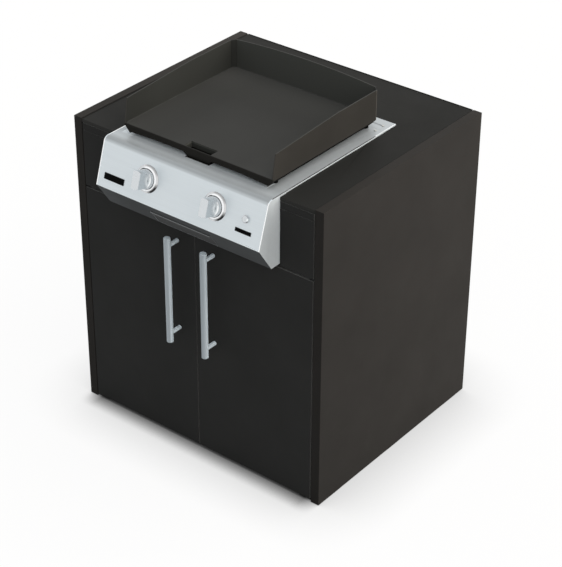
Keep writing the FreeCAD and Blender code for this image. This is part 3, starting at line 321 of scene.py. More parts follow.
coat_grain, coat_in, coat_out = group(
    "coat grain",
    {"Colour": ("colour", COAT_COLOUR), "Grain": ("float", 900.0), "Tone": ("float", 0.1),
     "Roughness": ("float", 0.5)},
    {"Colour": "colour", "Roughness": "float", "Height": "float"})
coat_place = coord(coat_grain, "Object")
drift = spread(coat_grain, noise(coat_grain, coat_place, **COAT_DRIFT), -1.0, 1.0)
fleck = spread(coat_grain, noise(coat_grain, coat_place, **COAT_FLECK), -FLECK_SHARE, FLECK_SHARE)
smear = spread(coat_grain, noise(coat_grain, coat_place, **COAT_SMEAR), -SMEAR_SHARE, SMEAR_SHARE)
coat_change = calc(coat_grain, "MULTIPLY_ADD", calc(coat_grain, "ADD", drift, fleck),
                   coat_in["Tone"], 1.0)
give_out(coat_grain, coat_out,
         Colour=tinted(coat_grain, coat_in["Colour"], coat_change),
         Roughness=calc(coat_grain, "ADD", coat_in["Roughness"], smear),
         Height=noise(coat_grain, coat_place, coat_in["Grain"]))


def coated(colour, grain, tone, rough, depth, sheet=None, edge=1.0, front=1.0, fade=None):
    """The faces of a sheet look along the given axis, and its folds and rims are painted lighter
    by the edge factor, as painted light. Faces that look forward or back are painted darker or
    lighter by the front factor, and the coat is painted paler along the fade vector, a painted
    gradient of light from a middle point."""
    def body(tree):
        given = from_group(tree, coat_grain, Colour=colour, Grain=grain, Tone=tone,
                           Roughness=rough)
        shade = given["Colour"]
        if sheet:
            # Painted light and shade: rims painted lighter, and faces that look forward painted
            # darker or lighter.
            for axis, aside, along in ((sheet, edge, 1.0), (FORWARD, 1.0, front)):
                turned_so = facing(tree, axis, FACE_TURN)
                shade = tinted(tree, shade, spread(tree, turned_so, aside, along, 0.0, 1.0))
        # A painted gradient of light across the sheet.
        if fade:
            away = vector_calc(tree, "SUBTRACT", coord(tree, "Object"), PAINTED_LIGHT_MIDDLE)
            along = vector_calc(tree, "DOT_PRODUCT", away, fade, output="Value")
            shade = tinted(tree, shade, calc(tree, "ADD", along, 1.0))
        return {"Base Color": shade, "Roughness": given["Roughness"], "Height": given["Height"],
                "Depth": depth}
    return body


for sheet_name, look, names in SHEETS:
    coat = finish(f"charcoal coat, {sheet_name} sheets", coated(**look, **COAT_LOOK), COAT_SHINE)
    dress(names, coat, FOLD_RADIUS)


# Counter seals: black rubber strips pressed into the gaps between the worktop and the side
# panels, a little below the sheet, each with a shallow groove along its top.
SEAL_X = (0.3865, 0.3895)
SEAL_Y = (-0.3450, 0.3440)
SEAL_Z = (0.8900, 0.8982)
SEAL_GROOVE = 0.0006
SEAL_STEPS = 24
SEAL_LOOK = dict(colour=(0.0300, 0.0298, 0.0285, 1), grain=1200.0, tone=0.06, rough=0.60,
                 depth=0.00002)
SMOOTH_TURN = 40


def skin(sections, closed=False):
    """Points and faces of a skin over a row of cross-sections with as many points each. The
    row is closed to a ring, or its two ends are capped."""
    count = len(sections[0])
    points = [point for section in sections for point in section]
    faces = []
    for step in range(len(sections) if closed else len(sections) - 1):
        here, after = step * count, (step + 1) % len(sections) * count
        for index in range(count):
            beside = (index + 1) % count
            faces.append((here + index, here + beside, after + beside, after + index))
    if not closed:
        faces += [tuple(range(count)), tuple(range(len(points) - count, len(points)))]
    return points, faces


def new_piece(name, points, faces, material, body, slot_name):
    """A mesh piece of the scene, smooth but for its sharp edges, riding a body."""
    mesh = bpy.data.meshes.new(name)
    mesh.from_pydata(points, [], faces)
    shell = bmesh.new()
    shell.from_mesh(mesh)
    bmesh.ops.recalc_face_normals(shell, faces=shell.faces)
    shell.to_mesh(mesh)
    shell.free()
    mesh.polygons.foreach_set("use_smooth", [True] * len(mesh.polygons))
    mesh.set_sharp_from_angle(angle=math.radians(SMOOTH_TURN))
    mesh.materials.append(material)
    piece = bpy.data.objects.new(name, mesh)
    scene.collection.objects.link(piece)
    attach(piece, body)
    return piece


seal_rubber = finish("seal rubber", coated(**SEAL_LOOK), COAT_SHINE)
low_x, high_x = SEAL_X
low_z, high_z = SEAL_Z
third = (high_x - low_x) / 3
seal_outline = [(low_x, low_z), (high_x, low_z), (high_x, high_z), (high_x - third, high_z),
                ((low_x + high_x) / 2, high_z - SEAL_GROOVE), (low_x + third, high_z),
                (low_x, high_z)]
seal_rows = [SEAL_Y[0] + (SEAL_Y[1] - SEAL_Y[0]) * step / SEAL_STEPS
             for step in range(SEAL_STEPS + 1)]
for name, side in (("left", -1), ("right", 1)):
    seal_sections = [[(side * x, y, z) for x, z in seal_outline] for y in seal_rows]
    new_piece(f"counter_seal_{name}", *skin(seal_sections), seal_rubber, "cabinet",
              "cabinet_paint")


# Face frame: welded square tube behind the doors and under the worktop, in a flatter
# black coat that a hand only meets when the doors are open.
FRAME_TUBES = ["front_post_left", "front_post_right", "cross_rail", "top_rail_left",
               "top_rail_right", "top_rail_back"]
FRAME_LOOK = dict(colour=(0.0078, 0.0078, 0.0080, 1), grain=520.0, tone=0.10, rough=0.58,
                  depth=0.00003)
FRAME_SHINE = {"Specular IOR Level": 0.25}
TUBE_RADIUS = 0.0012

frame_coat = finish("black frame coat", coated(**FRAME_LOOK), FRAME_SHINE)
dress(FRAME_TUBES, frame_coat, TUBE_RADIUS)


# Griddle head: pressed stainless sheet, brushed along its length. The control face, the lower
# face, the cheeks and the frame round the plate are one folding, and the rear strip is another.
# Each part begins over a range of the sheet's turn, or of its place in metres.
STEEL_COLOUR = (0.68, 0.735, 0.765, 1)
BRUSH_FINE = dict(scale=1.0, detail=3.0, rough=0.6)
BRUSH_BROAD = dict(scale=0.12)
BROAD_SHARE = 0.7
FINE_ROUGHER = 0.04
FINGER_MARKS = dict(scale=18.0, detail=4.0, rough=0.6)
FINGER_RANGE = (0.4, 0.75)
FINGER_ROUGHER = (-0.03, 0.05)
HEAD_BRUSH = dict(Colour=STEEL_COLOUR, Stretch=(5.0, 700.0, 700.0), Streak=0.02, Roughness=0.34)
HEAD_RELIEF = 0.000003
HEAD_SHINE = {"Specular IOR Level": 0.25}
HEAD_RADIUS = 0.0015
HEAD_METAL = 0.60
HEAD_SHADE = 1.05
CHEEK_TURN = (0.90, 0.97)
# Among these are the ranges of painted light and shade: low on the cheeks, at their back, at the
# two ends of the underside, at the brow's bend, along the side edges, under the plate's lip.
CHEEK_LOW_PAINTED_SHADE = (0.90, 0.80)
CHEEK_BACK_PAINTED_LIGHT = (-0.390, -0.350)
UNDER_TURN = (-0.30, -0.50)
UNDER_RIGHT_PAINTED_LIGHT = (-0.25, 0.24)
UNDER_LEFT_PAINTED_LIGHT = (-0.17, -0.255)
TOP_TURN = (0.34, 0.52)
BEND_PAINTED_SHADE_TURN = (0.58, 0.82)
BEND_PAINTED_SHADE_START = (-0.358, -0.374)
HIGHLIGHT_EDGE_TURN = (0.80, 0.60)
HIGHLIGHT_EDGE_SIDES = (-0.2648, 0.2768)
UNDER_LIP_PAINTED_LIGHT = ((-0.2500, -0.3450, 0.8950), (0.2340, -0.3050, 0.9030))
UNDER_LIP_PAINTED_LIGHT_START = (-0.343, -0.328)
# How much more metallic, rough and pale each part is than the control face. The changes of
# paleness are painted light and shade: the underside painted near black as the reflection of the
# dark doors, and the rest lighter or darker as light falls, with a painted highlight on the edges.
HEAD_FINISH_AND_PAINTED_LIGHT = {
    "cheek": (-0.42, 0.10, -0.07), "cheek low": (0, 0, -0.12), "cheek back": (0, 0, 0.22),
    "under": (-0.58, 0.45, -0.978), "under right": (0, 0, 0.006), "under left": (0, 0, 0.026),
    "bend": (0, 0, -0.27), "top": (-0.30, 0.06, -0.26), "painted highlight edge": (0.40, -0.16, 0.40),
    "under lip": (-0.20, 0, 0.62)}

brushed, brush_in, brush_out = group(
    "brushed metal",
    {"Colour": ("colour", STEEL_COLOUR), "Stretch": ("vector", (6.0, 900.0, 900.0)),
     "Streak": ("float", 0.05), "Roughness": ("float", 0.3)},
    {"Colour": "colour", "Roughness": "float", "Height": "float"})
brush_place = coord(brushed, "Object")
drawn = vector_calc(brushed, "MULTIPLY", brush_place, brush_in["Stretch"])
fine = noise(brushed, drawn, **BRUSH_FINE)
broad = noise(brushed, drawn, **BRUSH_BROAD)
marks = noise(brushed, brush_place, **FINGER_MARKS)
streak = calc(brushed, "ADD", spread(brushed, fine, -1.0, 1.0),
              spread(brushed, broad, -BROAD_SHARE, BROAD_SHARE))
brush_change = calc(brushed, "MULTIPLY_ADD", streak, brush_in["Streak"], 1.0)
smudge = calc(brushed, "ADD", spread(brushed, marks, *FINGER_ROUGHER, *FINGER_RANGE),
              spread(brushed, fine, -FINE_ROUGHER, FINE_ROUGHER))
give_out(brushed, brush_out,
         Colour=tinted(brushed, brush_in["Colour"], brush_change),
         Roughness=calc(brushed, "ADD", brush_in["Roughness"], smudge),
         Height=fine)


def zone(tree, at, low, high):
    """1 inside a box of the object's space, 0 outside it."""
    inside = 1.0
    for axis, start, end in zip("XYZ", low, high):
        inside = product(tree, calc(tree, "GREATER_THAN", at[axis], start),
                         calc(tree, "LESS_THAN", at[axis], end), inside)
    return inside


def head_look(tree):
    """The flat faces differ in finish: the cheeks and the frame round the plate are a soft satin,
    and the underside is left dull. Their colour carries painted light and shade: the underside is
    painted near black, the cheeks, the brow's bend and the frame round the plate are painted
    lighter or darker, and the folded edges at the sides carry a painted highlight."""
    given = from_group(tree, brushed, **HEAD_BRUSH)
    turn = parts(tree, coord(tree, "Normal"))
    at = parts(tree, coord(tree, "Object"))
    across = calc(tree, "ABSOLUTE", turn["X"])
    cheek = ramp(tree, across, *CHEEK_TURN)
    under = ramp(tree, turn["Z"], *UNDER_TURN)
    painted_highlight_side = calc(tree, "MAXIMUM", calc(tree, "LESS_THAN", at["X"], HIGHLIGHT_EDGE_SIDES[0]),
                   calc(tree, "GREATER_THAN", at["X"], HIGHLIGHT_EDGE_SIDES[1]))
    edge = product(tree, painted_highlight_side, ramp(tree, across, *HIGHLIGHT_EDGE_TURN),
                   calc(tree, "SUBTRACT", 1.0, under))
    # Masks of painted light and shade, as well as of finish.
    masks = {
        "cheek": cheek,
        "cheek low": product(tree, cheek, ramp(tree, at["Z"], *CHEEK_LOW_PAINTED_SHADE)),
        "cheek back": product(tree, cheek, ramp(tree, at["Y"], *CHEEK_BACK_PAINTED_LIGHT)),
        "under": under,
        "under right": product(tree, under, ramp(tree, at["X"], *UNDER_RIGHT_PAINTED_LIGHT)),
        "under left": product(tree, under, ramp(tree, at["X"], *UNDER_LEFT_PAINTED_LIGHT)),
        "bend": product(tree, ramp(tree, at["Y"], *BEND_PAINTED_SHADE_START), ramp(tree, turn["Z"], *BEND_PAINTED_SHADE_TURN)),
        "top": product(tree, ramp(tree, turn["Z"], *TOP_TURN), calc(tree, "SUBTRACT", 1.0, edge)),
        "painted highlight edge": edge,
        "under lip": product(tree, zone(tree, at, *UNDER_LIP_PAINTED_LIGHT),
                             ramp(tree, at["Y"], *UNDER_LIP_PAINTED_LIGHT_START))}
    values = [HEAD_METAL, given["Roughness"], HEAD_SHADE]
    for part, mask in masks.items():
        for which, more in enumerate(HEAD_FINISH_AND_PAINTED_LIGHT[part]):
            if more:
                values[which] = calc(tree, "MULTIPLY_ADD", mask, more, values[which])
    metal, rough, shade = values
    return {"Base Color": tinted(tree, given["Colour"], shade), "Metallic": metal,
            "Roughness": rough, "Height": given["Height"], "Depth": HEAD_RELIEF}


head_steel = finish("brushed head steel", head_look, HEAD_SHINE)
dress(["head_shell", "frame_rear"], head_steel, HEAD_RADIUS, steps=3)


# Handles: drawn round bar on two posts, bright along the draw, fixed through the door by
# screws. The bar's right flank, its ends and the posts behind it are painted lighter and less
# metallic, as painted light and highlight.
HANDLE_BRUSH = dict(Colour=(0.355, 0.405, 0.438, 1), Stretch=(500.0, 500.0, 4.0), Streak=0.16,
                    Roughness=0.34)
HANDLE_RELIEF = 0.000006
HANDLE_RADIUS = 0.0008
HANDLE_METAL = 0.15
POST_START = -0.3775
END_TURN = (0.6, 0.95)
ENDS_AND_POSTS_PAINTED_LIGHT = 1.40
FLANK_WAY = (0.783, 0.622, 0.0)
FLANK_TURN = (0.0, 0.90)
FLANK_PAINTED_LIGHT = 1.50


def handle_look(tree):
    """Paint-like in its low metal share on the bar, and plain pale where light is painted on: the
    posts, the ends and the right flank.
    """
    given = from_group(tree, brushed, **HANDLE_BRUSH)
    post = calc(tree, "GREATER_THAN", parts(tree, coord(tree, "Object"))["Y"], POST_START)
    # Painted light: the posts, the ends and the right flank are made paler.
    bright = calc(tree, "MAXIMUM", post, facing(tree, UPWARD, END_TURN))
    to_flank = vector_calc(tree, "DOT_PRODUCT", coord(tree, "Normal"), FLANK_WAY, output="Value")
    flank = product(tree, ramp(tree, to_flank, *FLANK_TURN), calc(tree, "SUBTRACT", 1.0, bright))
    lighter = calc(tree, "MULTIPLY_ADD", bright, ENDS_AND_POSTS_PAINTED_LIGHT, 1.0)
    lighter = calc(tree, "MULTIPLY_ADD", flank, FLANK_PAINTED_LIGHT, lighter)
    painted_light_part = calc(tree, "MAXIMUM", bright, flank)
    return {"Base Color": tinted(tree, given["Colour"], lighter),
            "Metallic": calc(tree, "MULTIPLY_ADD", painted_light_part, -HANDLE_METAL, HANDLE_METAL),
            "Roughness": given["Roughness"], "Height": given["Height"], "Depth": HANDLE_RELIEF}


handle_steel = finish("drawn handle steel", handle_look)
dress(["handle_left", "handle_right"], handle_steel, HANDLE_RADIUS, steps=3)


# Cooking plate: rolled steel with walls welded on along their feet, blackened by its oil
# seasoning, which is patchy, and slicker on the cooking surface. The zones are boxes in
# metres, and the other ranges are of the steel's place or of its turn.
PLATE_FLOOR_COLOUR = (0.0445, 0.0452, 0.0430, 1)
PLATE_WALL_COLOUR = (0.0375, 0.0386, 0.0352, 1)
PLATE_GRAIN = dict(Colour=(0.0430, 0.0405, 0.0360, 1), Grain=260.0, Tone=0.10, Roughness=0.46)
PLATE_RELIEF = 0.00003
PLATE_SHINE = {"Specular IOR Level": 0.04}
PLATE_RADIUS = 0.0009
PLATE_INNER = ((-0.2375, -0.400, 0.9312), (0.2495, 0.1015, 1.10))
PLATE_TOP = ((-0.2375, -0.400, 0.9300), (0.2495, 0.1040, 0.9318))
SLOT_INNER = ((-0.0380, -0.3352, 0.9146), (0.0500, -0.3055, 0.9305))
BAND = ((-0.2600, -0.3400, 0.9000), (0.2700, -0.3345, 0.9308))
SKIRT = ((-0.2600, -0.3345, 0.9000), (0.2700, 0.1100, 0.9262))
HIGHLIGHT_WALL_TOPS = ((-0.2600, -0.3400, 0.9900), (0.2700, 0.1100, 1.0500))
PAINTED_DARK_CORNERS = (((-0.2375, 0.0893, 0.9318), (-0.2255, 0.1015, 1.0500)),
           ((0.2375, 0.0893, 0.9318), (0.2495, 0.1015, 1.0500)))
HIGHLIGHT_CORNER = ((0.2508, 0.0893, 0.9262), (0.2700, 0.1100, 1.0500))
NEAR_LEFT = (-0.127, -0.237)
NEAR_RIGHT = (0.139, 0.249)
NEAR_BACK = (-0.060, 0.101)
NEAR_SIDE_CURVE, NEAR_SIDE_PAINTED_LIGHT = 1.2, 0.40
NEAR_BACK_CURVE, NEAR_BACK_PAINTED_LIGHT = 1.5, 0.80
WALL_FOOT = 0.9318
LEFT_WALL_TURN = (0.5, 0.9)
FORWARD_TURN = (-0.4, -0.8)
FRONT_ENDS = (-0.28, -0.32)
LEFT_WALL_FRONT = (-0.20, -0.40)
DARKEST = 0.05
SKIRT_ROUGHER = 0.5
# How much paler or darker each part is painted, as a share of its colour. All but the front
# band, which is only darker, are painted light and shade.
PLATE_TONES_AND_PAINTED_LIGHT = {
    "band": -0.60, "skirt": -0.85, "slot": 1.3, "corners": -0.82, "wall tops": 0.40,
    "painted highlight corner": 1.5, "near the walls": 1.0, "left wall": 0.30, "left wall front": -0.50,
    "facing forward": 0.90, "front ends": -0.60}
BEAD_PATH = ((-0.2370, -0.3300), (-0.2370, 0.0900), (-0.2260, 0.1010), (0.2380, 0.1010),
             (0.2490, 0.0900), (0.2490, -0.3300))
BEAD_HEIGHT = 0.9312
BEAD_RADIUS = 0.0012
BEAD_STEP = 0.0005
BEAD_RIPPLE = 0.0002
BEAD_PITCH = 0.0031
BEAD_SIDES = 6
BEAD_LOOK = dict(colour=(0.055, 0.056, 0.052, 1), stretch=(300.0, 300.0, 300.0), streak=0.20,
                 rough=0.42, depth=0.00002)
BEAD_SHINE = {"Specular IOR Level": 0.3}


def plate_look(tree):
    """The inner walls, the floor and the outside take their own colours, and the front edge is
    darker. The rest is painted light and shade: the skirt painted near black as shade under the
    plate, the rear inner corners painted dark, highlights painted on the wall tops and the rear
    right corner, and painted light in the slot, on the floor near the walls, on the left wall and
    on faces that look forward."""
    at = parts(tree, coord(tree, "Object"))
    turn = parts(tree, coord(tree, "Normal"))
    inside = zone(tree, at, *PLATE_INNER)
    slot = zone(tree, at, *SLOT_INNER)
    skirt = zone(tree, at, *SKIRT)
    flat = facing(tree, UPWARD, FACE_TURN)
    outer = from_group(tree, coat_grain, **PLATE_GRAIN)
    colour = blend(tree, "RGBA", calc(tree, "MAXIMUM", inside, slot), outer["Colour"],
                   PLATE_WALL_COLOUR)
    colour = blend(tree, "RGBA", flat, colour, PLATE_FLOOR_COLOUR)
    near_side = calc(tree, "MAXIMUM",
                     *[calc(tree, "POWER", ramp(tree, at["X"], *reach), NEAR_SIDE_CURVE)
                       for reach in (NEAR_LEFT, NEAR_RIGHT)])
    near_back = calc(tree, "POWER", ramp(tree, at["Y"], *NEAR_BACK), NEAR_BACK_CURVE)
    near = calc(tree, "MULTIPLY_ADD", near_back, NEAR_BACK_PAINTED_LIGHT,
                product(tree, near_side, NEAR_SIDE_PAINTED_LIGHT))
    left_wall = product(tree, inside, ramp(tree, turn["X"], *LEFT_WALL_TURN))
    forward = product(tree, ramp(tree, turn["Y"], *FORWARD_TURN),
                      calc(tree, "GREATER_THAN", at["Z"], WALL_FOOT))
    # Masks of painted light and shade, and of the darker front band.
    masks = {
        "band": zone(tree, at, *BAND),
        "skirt": skirt,
        "slot": slot,
        "corners": calc(tree, "MAXIMUM", *[zone(tree, at, *ends) for ends in PAINTED_DARK_CORNERS]),
        "wall tops": product(tree, zone(tree, at, *HIGHLIGHT_WALL_TOPS), flat),
        "painted highlight corner": zone(tree, at, *HIGHLIGHT_CORNER),
        "near the walls": product(tree, near, flat, zone(tree, at, *PLATE_TOP)),
        "left wall": left_wall,
        "left wall front": product(tree, left_wall, ramp(tree, at["Y"], *LEFT_WALL_FRONT)),
        "facing forward": forward,
        "front ends": product(tree, forward, ramp(tree, at["Y"], *FRONT_ENDS))}
    shade = 1.0
    for part, mask in masks.items():
        shade = calc(tree, "MULTIPLY_ADD", mask, PLATE_TONES_AND_PAINTED_LIGHT[part], shade)
    return {"Base Color": tinted(tree, colour, calc(tree, "MAXIMUM", shade, DARKEST)),
            "Roughness": calc(tree, "MULTIPLY_ADD", skirt, SKIRT_ROUGHER, outer["Roughness"]),
            "Height": outer["Height"], "Depth": PLATE_RELIEF}


seasoned = finish("seasoned plate steel", plate_look, PLATE_SHINE)
dress(["griddle_plate"], seasoned, PLATE_RADIUS, steps=3)


def drawn_metal(colour, stretch, streak, rough, depth):
    def body(tree):
        given = from_group(tree, brushed, Colour=colour, Stretch=stretch, Streak=streak,
                           Roughness=rough)
        return {"Base Color": given["Colour"], "Roughness": given["Roughness"],
                "Height": given["Height"], "Depth": depth}
    return body


def weld_bead(path, height):
    """The cross-sections of a rippled bead along a path at the foot of a wall."""
    corners = [Vector((x, y, height)) for x, y in path]
    centres = []
    for start, end in zip(corners, corners[1:]):
        count = max(1, round((end - start).length / BEAD_STEP))
        centres += [start.lerp(end, step / count) for step in range(count)]
    centres.append(corners[-1])
    angles = [2 * math.pi * (side + 0.5) / BEAD_SIDES for side in range(BEAD_SIDES)]
    sections = []
    for index, centre in enumerate(centres):
        ahead = centres[min(index + 1, len(centres) - 1)] - centres[max(index - 1, 0)]
        across = Vector((-ahead.y, ahead.x, 0)).normalized()
        radius = BEAD_RADIUS + BEAD_RIPPLE * math.sin(2 * math.pi * index * BEAD_STEP / BEAD_PITCH)
        sections.append([centre + radius * (math.cos(angle) * across
                                            + Vector((0, 0, math.sin(angle))))
                         for angle in angles])
    return sections


bead_steel = finish("weld bead steel", drawn_metal(**BEAD_LOOK), BEAD_SHINE)
new_piece("plate_weld", *skin(weld_bead(BEAD_PATH, BEAD_HEIGHT)), bead_steel, "griddle_plate",
          "plate_steel")


# Knobs: die-cast metal with a satin chrome finish, pressed on the valve stems. Round the foot
# of each grip lies a turned skirt, whose rolled rim carries a painted reflection of the bright
# room on the right and painted shade for the dark gap below it. A profile holds radii and
# heights above the control face.
FACE_OUT = Vector((0.0, -0.951862, 0.306526))
FACE_UP = Vector((0.0, 0.306526, 0.951862))
FACE_RIGHT = Vector((1, 0, 0))
KNOB_CENTRES = {"left": Vector((-0.104, -0.405463, 0.840775)),
                "right": Vector((0.121, -0.405463, 0.840775))}
KNOB_LOOK = dict(colour=(0.66, 0.69, 0.71, 1), stretch=(90.0, 90.0, 900.0), streak=0.01,
                 rough=0.24, depth=0.0000002)
BARE_METAL = {"Metallic": 1.0}
KNOB_RADIUS = 0.0012
TURNED_STEPS = 120
HOUR_DEGREES = 30
SKIRT_PROFILE = ((0.0140, 0.0137), (0.0162, 0.0140), (0.0182, 0.0140), (0.0203, 0.0137),
                 (0.0223, 0.0130), (0.0240, 0.0119), (0.0254, 0.0103), (0.0263, 0.0084),
                 (0.0266, 0.0064), (0.0140, 0.0064))
SKIRT_BRUSH = dict(Colour=(0.93, 0.96, 0.97, 1), Stretch=(90.0, 90.0, 900.0), Streak=0.01,
                   Roughness=0.22)
POLISHED_RELIEF = 0.0000002
# The painted reflections of a polished ring: its base tone, and then each painted part: the radii
# that it lies between and their fade, the clock hour at its middle, half its width and its fade
# in hours, and its tone.
CENTRE, BEYOND = 0.0, 0.1
SKIRT_PAINTED_REFLECTIONS = (0.46, (
    ((CENTRE, 0.0234, 0.0006), (3.1, 1.7, 0.5), 0.78),
    ((0.0172, 0.0212, 0.0006), (3.3, 0.8, 0.6), 1.05),
    ((0.0261, BEYOND, 0.0005), None, 0.95),
    ((0.0234, 0.0254, 0.0005), (2.4, 1.4, 0.5), 0.26),
    ((0.0234, 0.0254, 0.0005), (4.7, 0.9, 0.4), 0.03)))


def turned(profile, centre):
    """The cross-sections of a ring turned about an axis that stands on the control face."""
    sections = []
    for step in range(TURNED_STEPS):
        angle = 2 * math.pi * step / TURNED_STEPS
        along = math.cos(angle) * FACE_RIGHT + math.sin(angle) * FACE_UP
        sections.append([centre + along * radius + FACE_OUT * height
                         for radius, height in profile])
    return sections


def from_axis(tree, centre):
    """How far a point lies from an axis that stands on the control face, and in which
    direction."""
    away = vector_calc(tree, "SUBTRACT", coord(tree, "Object"), centre)
    height = vector_calc(tree, "DOT_PRODUCT", away, FACE_OUT, output="Value")
    flat = vector_calc(tree, "SUBTRACT", away, tinted(tree, FACE_OUT, height))
    return vector_calc(tree, "LENGTH", flat, output="Value"), vector_calc(tree, "NORMALIZE", flat)


def from_knob_axis(tree):
    """The same from the axis of the knob that the point belongs to."""
    left, right = KNOB_CENTRES["left"], KNOB_CENTRES["right"]
    is_right = calc(tree, "GREATER_THAN", parts(tree, coord(tree, "Object"))["X"],
                    (left.x + right.x) / 2)
    return from_axis(tree, blend(tree, "VECTOR", is_right, left, right))


def hours(tree, way, middle, half, soft):
    """1 round a clock hour on the control face, fading over the last soft hours on both
    sides."""
    angle = math.radians(HOUR_DEGREES * middle)
    aimed = math.sin(angle) * FACE_RIGHT + math.cos(angle) * FACE_UP
    along = vector_calc(tree, "DOT_PRODUCT", way, aimed, output="Value")
    return ramp(tree, along, math.cos(math.radians(HOUR_DEGREES * (half + soft))),
                math.cos(math.radians(HOUR_DEGREES * half)))


def between(tree, value, low, high, soft):
    """1 between two values, fading outside them."""
    return calc(tree, "MINIMUM", ramp(tree, value, low - soft, low),
                ramp(tree, value, high + soft, high))


def polished(brush, from_centre, tones, relief=POLISHED_RELIEF):
    """Its colour carries painted reflections and shade, placed by the distance and direction that
    from_centre(tree) gives."""
    def body(tree):
        given = from_group(tree, brushed, **brush)
        radius, way = from_centre(tree)
        tone, painted_reflection_parts = tones
        for radii, clock, value in painted_reflection_parts:
            mask = between(tree, radius, *radii)
            if clock:
                mask = product(tree, mask, hours(tree, way, *clock))
            tone = blend(tree, "FLOAT", mask, tone, value)
        return {"Base Color": tinted(tree, given["Colour"], tone),
                "Roughness": given["Roughness"], "Height": given["Height"], "Depth": relief}
    return body


knob_metal = finish("satin knob metal", drawn_metal(**KNOB_LOOK), BARE_METAL)
dress(["knob_left", "knob_right"], knob_metal, KNOB_RADIUS, steps=3)
skirt_metal = finish("polished skirt metal", polished(SKIRT_BRUSH, from_knob_axis, SKIRT_PAINTED_REFLECTIONS),
                     BARE_METAL)
for side, centre in KNOB_CENTRES.items():
    new_piece(f"knob_{side}_skirt", *skin(turned(SKIRT_PROFILE, centre), closed=True),
              skirt_metal, f"knob_{side}_turn", "knob_metal")


# Bezels: turned and polished rings on the control face. The rounded crest carries a painted
# reflection of the white room, and the hollow flank is painted darker to the lower right and a
# little at the top, as painted reflections of the cabinet and the worktop.
BEZEL_PROFILE = ((0.0096, 0.0000), (0.0096, 0.0015), (0.0271, 0.0015), (0.0273, 0.0054),
                 (0.0277, 0.0064), (0.0286, 0.0071), (0.0297, 0.0071), (0.0307, 0.0064),
                 (0.0315, 0.0053), (0.0326, 0.0039), (0.0341, 0.0027), (0.0357, 0.0019),
                 (0.0367, 0.0015), (0.0370, 0.0010), (0.0370, 0.0000))
BEZEL_BRUSH = dict(Colour=(0.96, 0.97, 0.98, 1), Stretch=(300.0, 300.0, 300.0), Streak=0.01,
                   Roughness=0.16)
BEZEL_PAINTED_REFLECTIONS = (0.98, (
    ((0.0328, BEYOND, 0.0012), None, 0.68),
    ((0.0345, BEYOND, 0.0020), (0.7, 0.9, 0.6), 0.40),
    ((0.0332, BEYOND, 0.0032), (4.4, 0.45, 0.80), 0.03),
    ((CENTRE, 0.0290, 0.0010), (10.8, 0.35, 0.3), 0.04)))

bezel_metal = finish("turned bezel metal", polished(BEZEL_BRUSH, from_knob_axis, BEZEL_PAINTED_REFLECTIONS),
                     BARE_METAL)
dress(["bezel_left", "bezel_right"], bezel_metal)
for side, centre in KNOB_CENTRES.items():
    ring = new_piece(f"bezel_{side}_ring", *skin(turned(BEZEL_PROFILE, centre), closed=True),
                     bezel_metal, "cabinet", "bezel_metal")
    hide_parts(f"bezel_{side}")


# Igniter: a chromed push button in a ring, screwed into the control face. The rim round the
# button is painted dark towards the floor as shade, and the button has a painted glint.
BUTTON_CENTRE = Vector((0.222, -0.405463, 0.840775))
BUTTON_BRUSH = dict(Colour=(0.66, 0.69, 0.71, 1), Stretch=(400.0, 400.0, 400.0), Streak=0.02,
                    Roughness=0.22)
BUTTON_RELIEF = 0.0000005
BUTTON_RADIUS = 0.0006
BUTTON_PAINTED_SHADE_AND_GLINT = (0.97, (
    ((0.0080, 0.0093, 0.0004), (6.6, 3.0, 0.8), 0.30),
    ((0.0062, 0.0092, 0.0004), (2.9, 0.6, 0.4), 1.48)))


def from_button_axis(tree):
    """The same distance and direction from the button's axis."""
    return from_axis(tree, BUTTON_CENTRE)


button_metal = finish("button metal",
                      polished(BUTTON_BRUSH, from_button_axis, BUTTON_PAINTED_SHADE_AND_GLINT, BUTTON_RELIEF),
                      BARE_METAL)
dress(["igniter_button", "igniter_body"], button_metal, BUTTON_RADIUS)


# Badges: two thin blank plates of black anodised aluminium, cut from sheet and stuck on the
# control face.
BADGE_LOOK = dict(colour=(0.0016, 0.0016, 0.0018, 1), grain=1500.0, tone=0.05, rough=0.40,
                  depth=0.00001)
BADGE_RADIUS = 0.0003

badge_black = finish("black anodised badge", coated(**BADGE_LOOK), COAT_SHINE)
dress(["badge_left", "badge_right"], badge_black, BADGE_RADIUS)


# Screws and valve stems: zinc-plated steel, with a faint pale yellow. The pivot plates of the
# doors have the frame's black coat.
SCREW_LOOK = dict(colour=(0.60, 0.60, 0.57, 1), stretch=(600.0, 600.0, 600.0), streak=0.08,
                  rough=0.32, depth=0.000004)
SCREW_RADIUS = 0.0003

screw_steel = finish("plated screw steel", drawn_metal(**SCREW_LOOK), BARE_METAL)
dress(["frame_screws", "handle_screws_left", "handle_screws_right", "stem_left", "stem_right"],
      screw_steel, SCREW_RADIUS)
dress(["pivots_left", "pivots_right"], frame_coat, SCREW_RADIUS)


# Firebox, grease duct, drawer runner and burner rail: folded aluminised sheet, grey and
# slightly mottled, fixed under the griddle head.
FIREBOX_LOOK = dict(colour=(0.42, 0.42, 0.41, 1), stretch=(60.0, 60.0, 60.0), streak=0.12,
                    rough=0.45, depth=0.00002)
THIN_RADIUS = 0.0004

firebox_steel = finish("aluminised firebox steel", drawn_metal(**FIREBOX_LOOK), BARE_METAL)
dress(["firebox", "burner_support", "grease_duct", "drawer_runner"], firebox_steel, THIN_RADIUS)


# Burners: stainless tube with rows of ports, straw-coloured by heat near them, given here as
# one even colour over the whole tube. They lie in the firebox on the burner rail.
BURNER_LOOK = dict(colour=(0.50, 0.44, 0.36, 1), stretch=(300.0, 8.0, 300.0), streak=0.15,
                   rough=0.38, depth=0.00001)

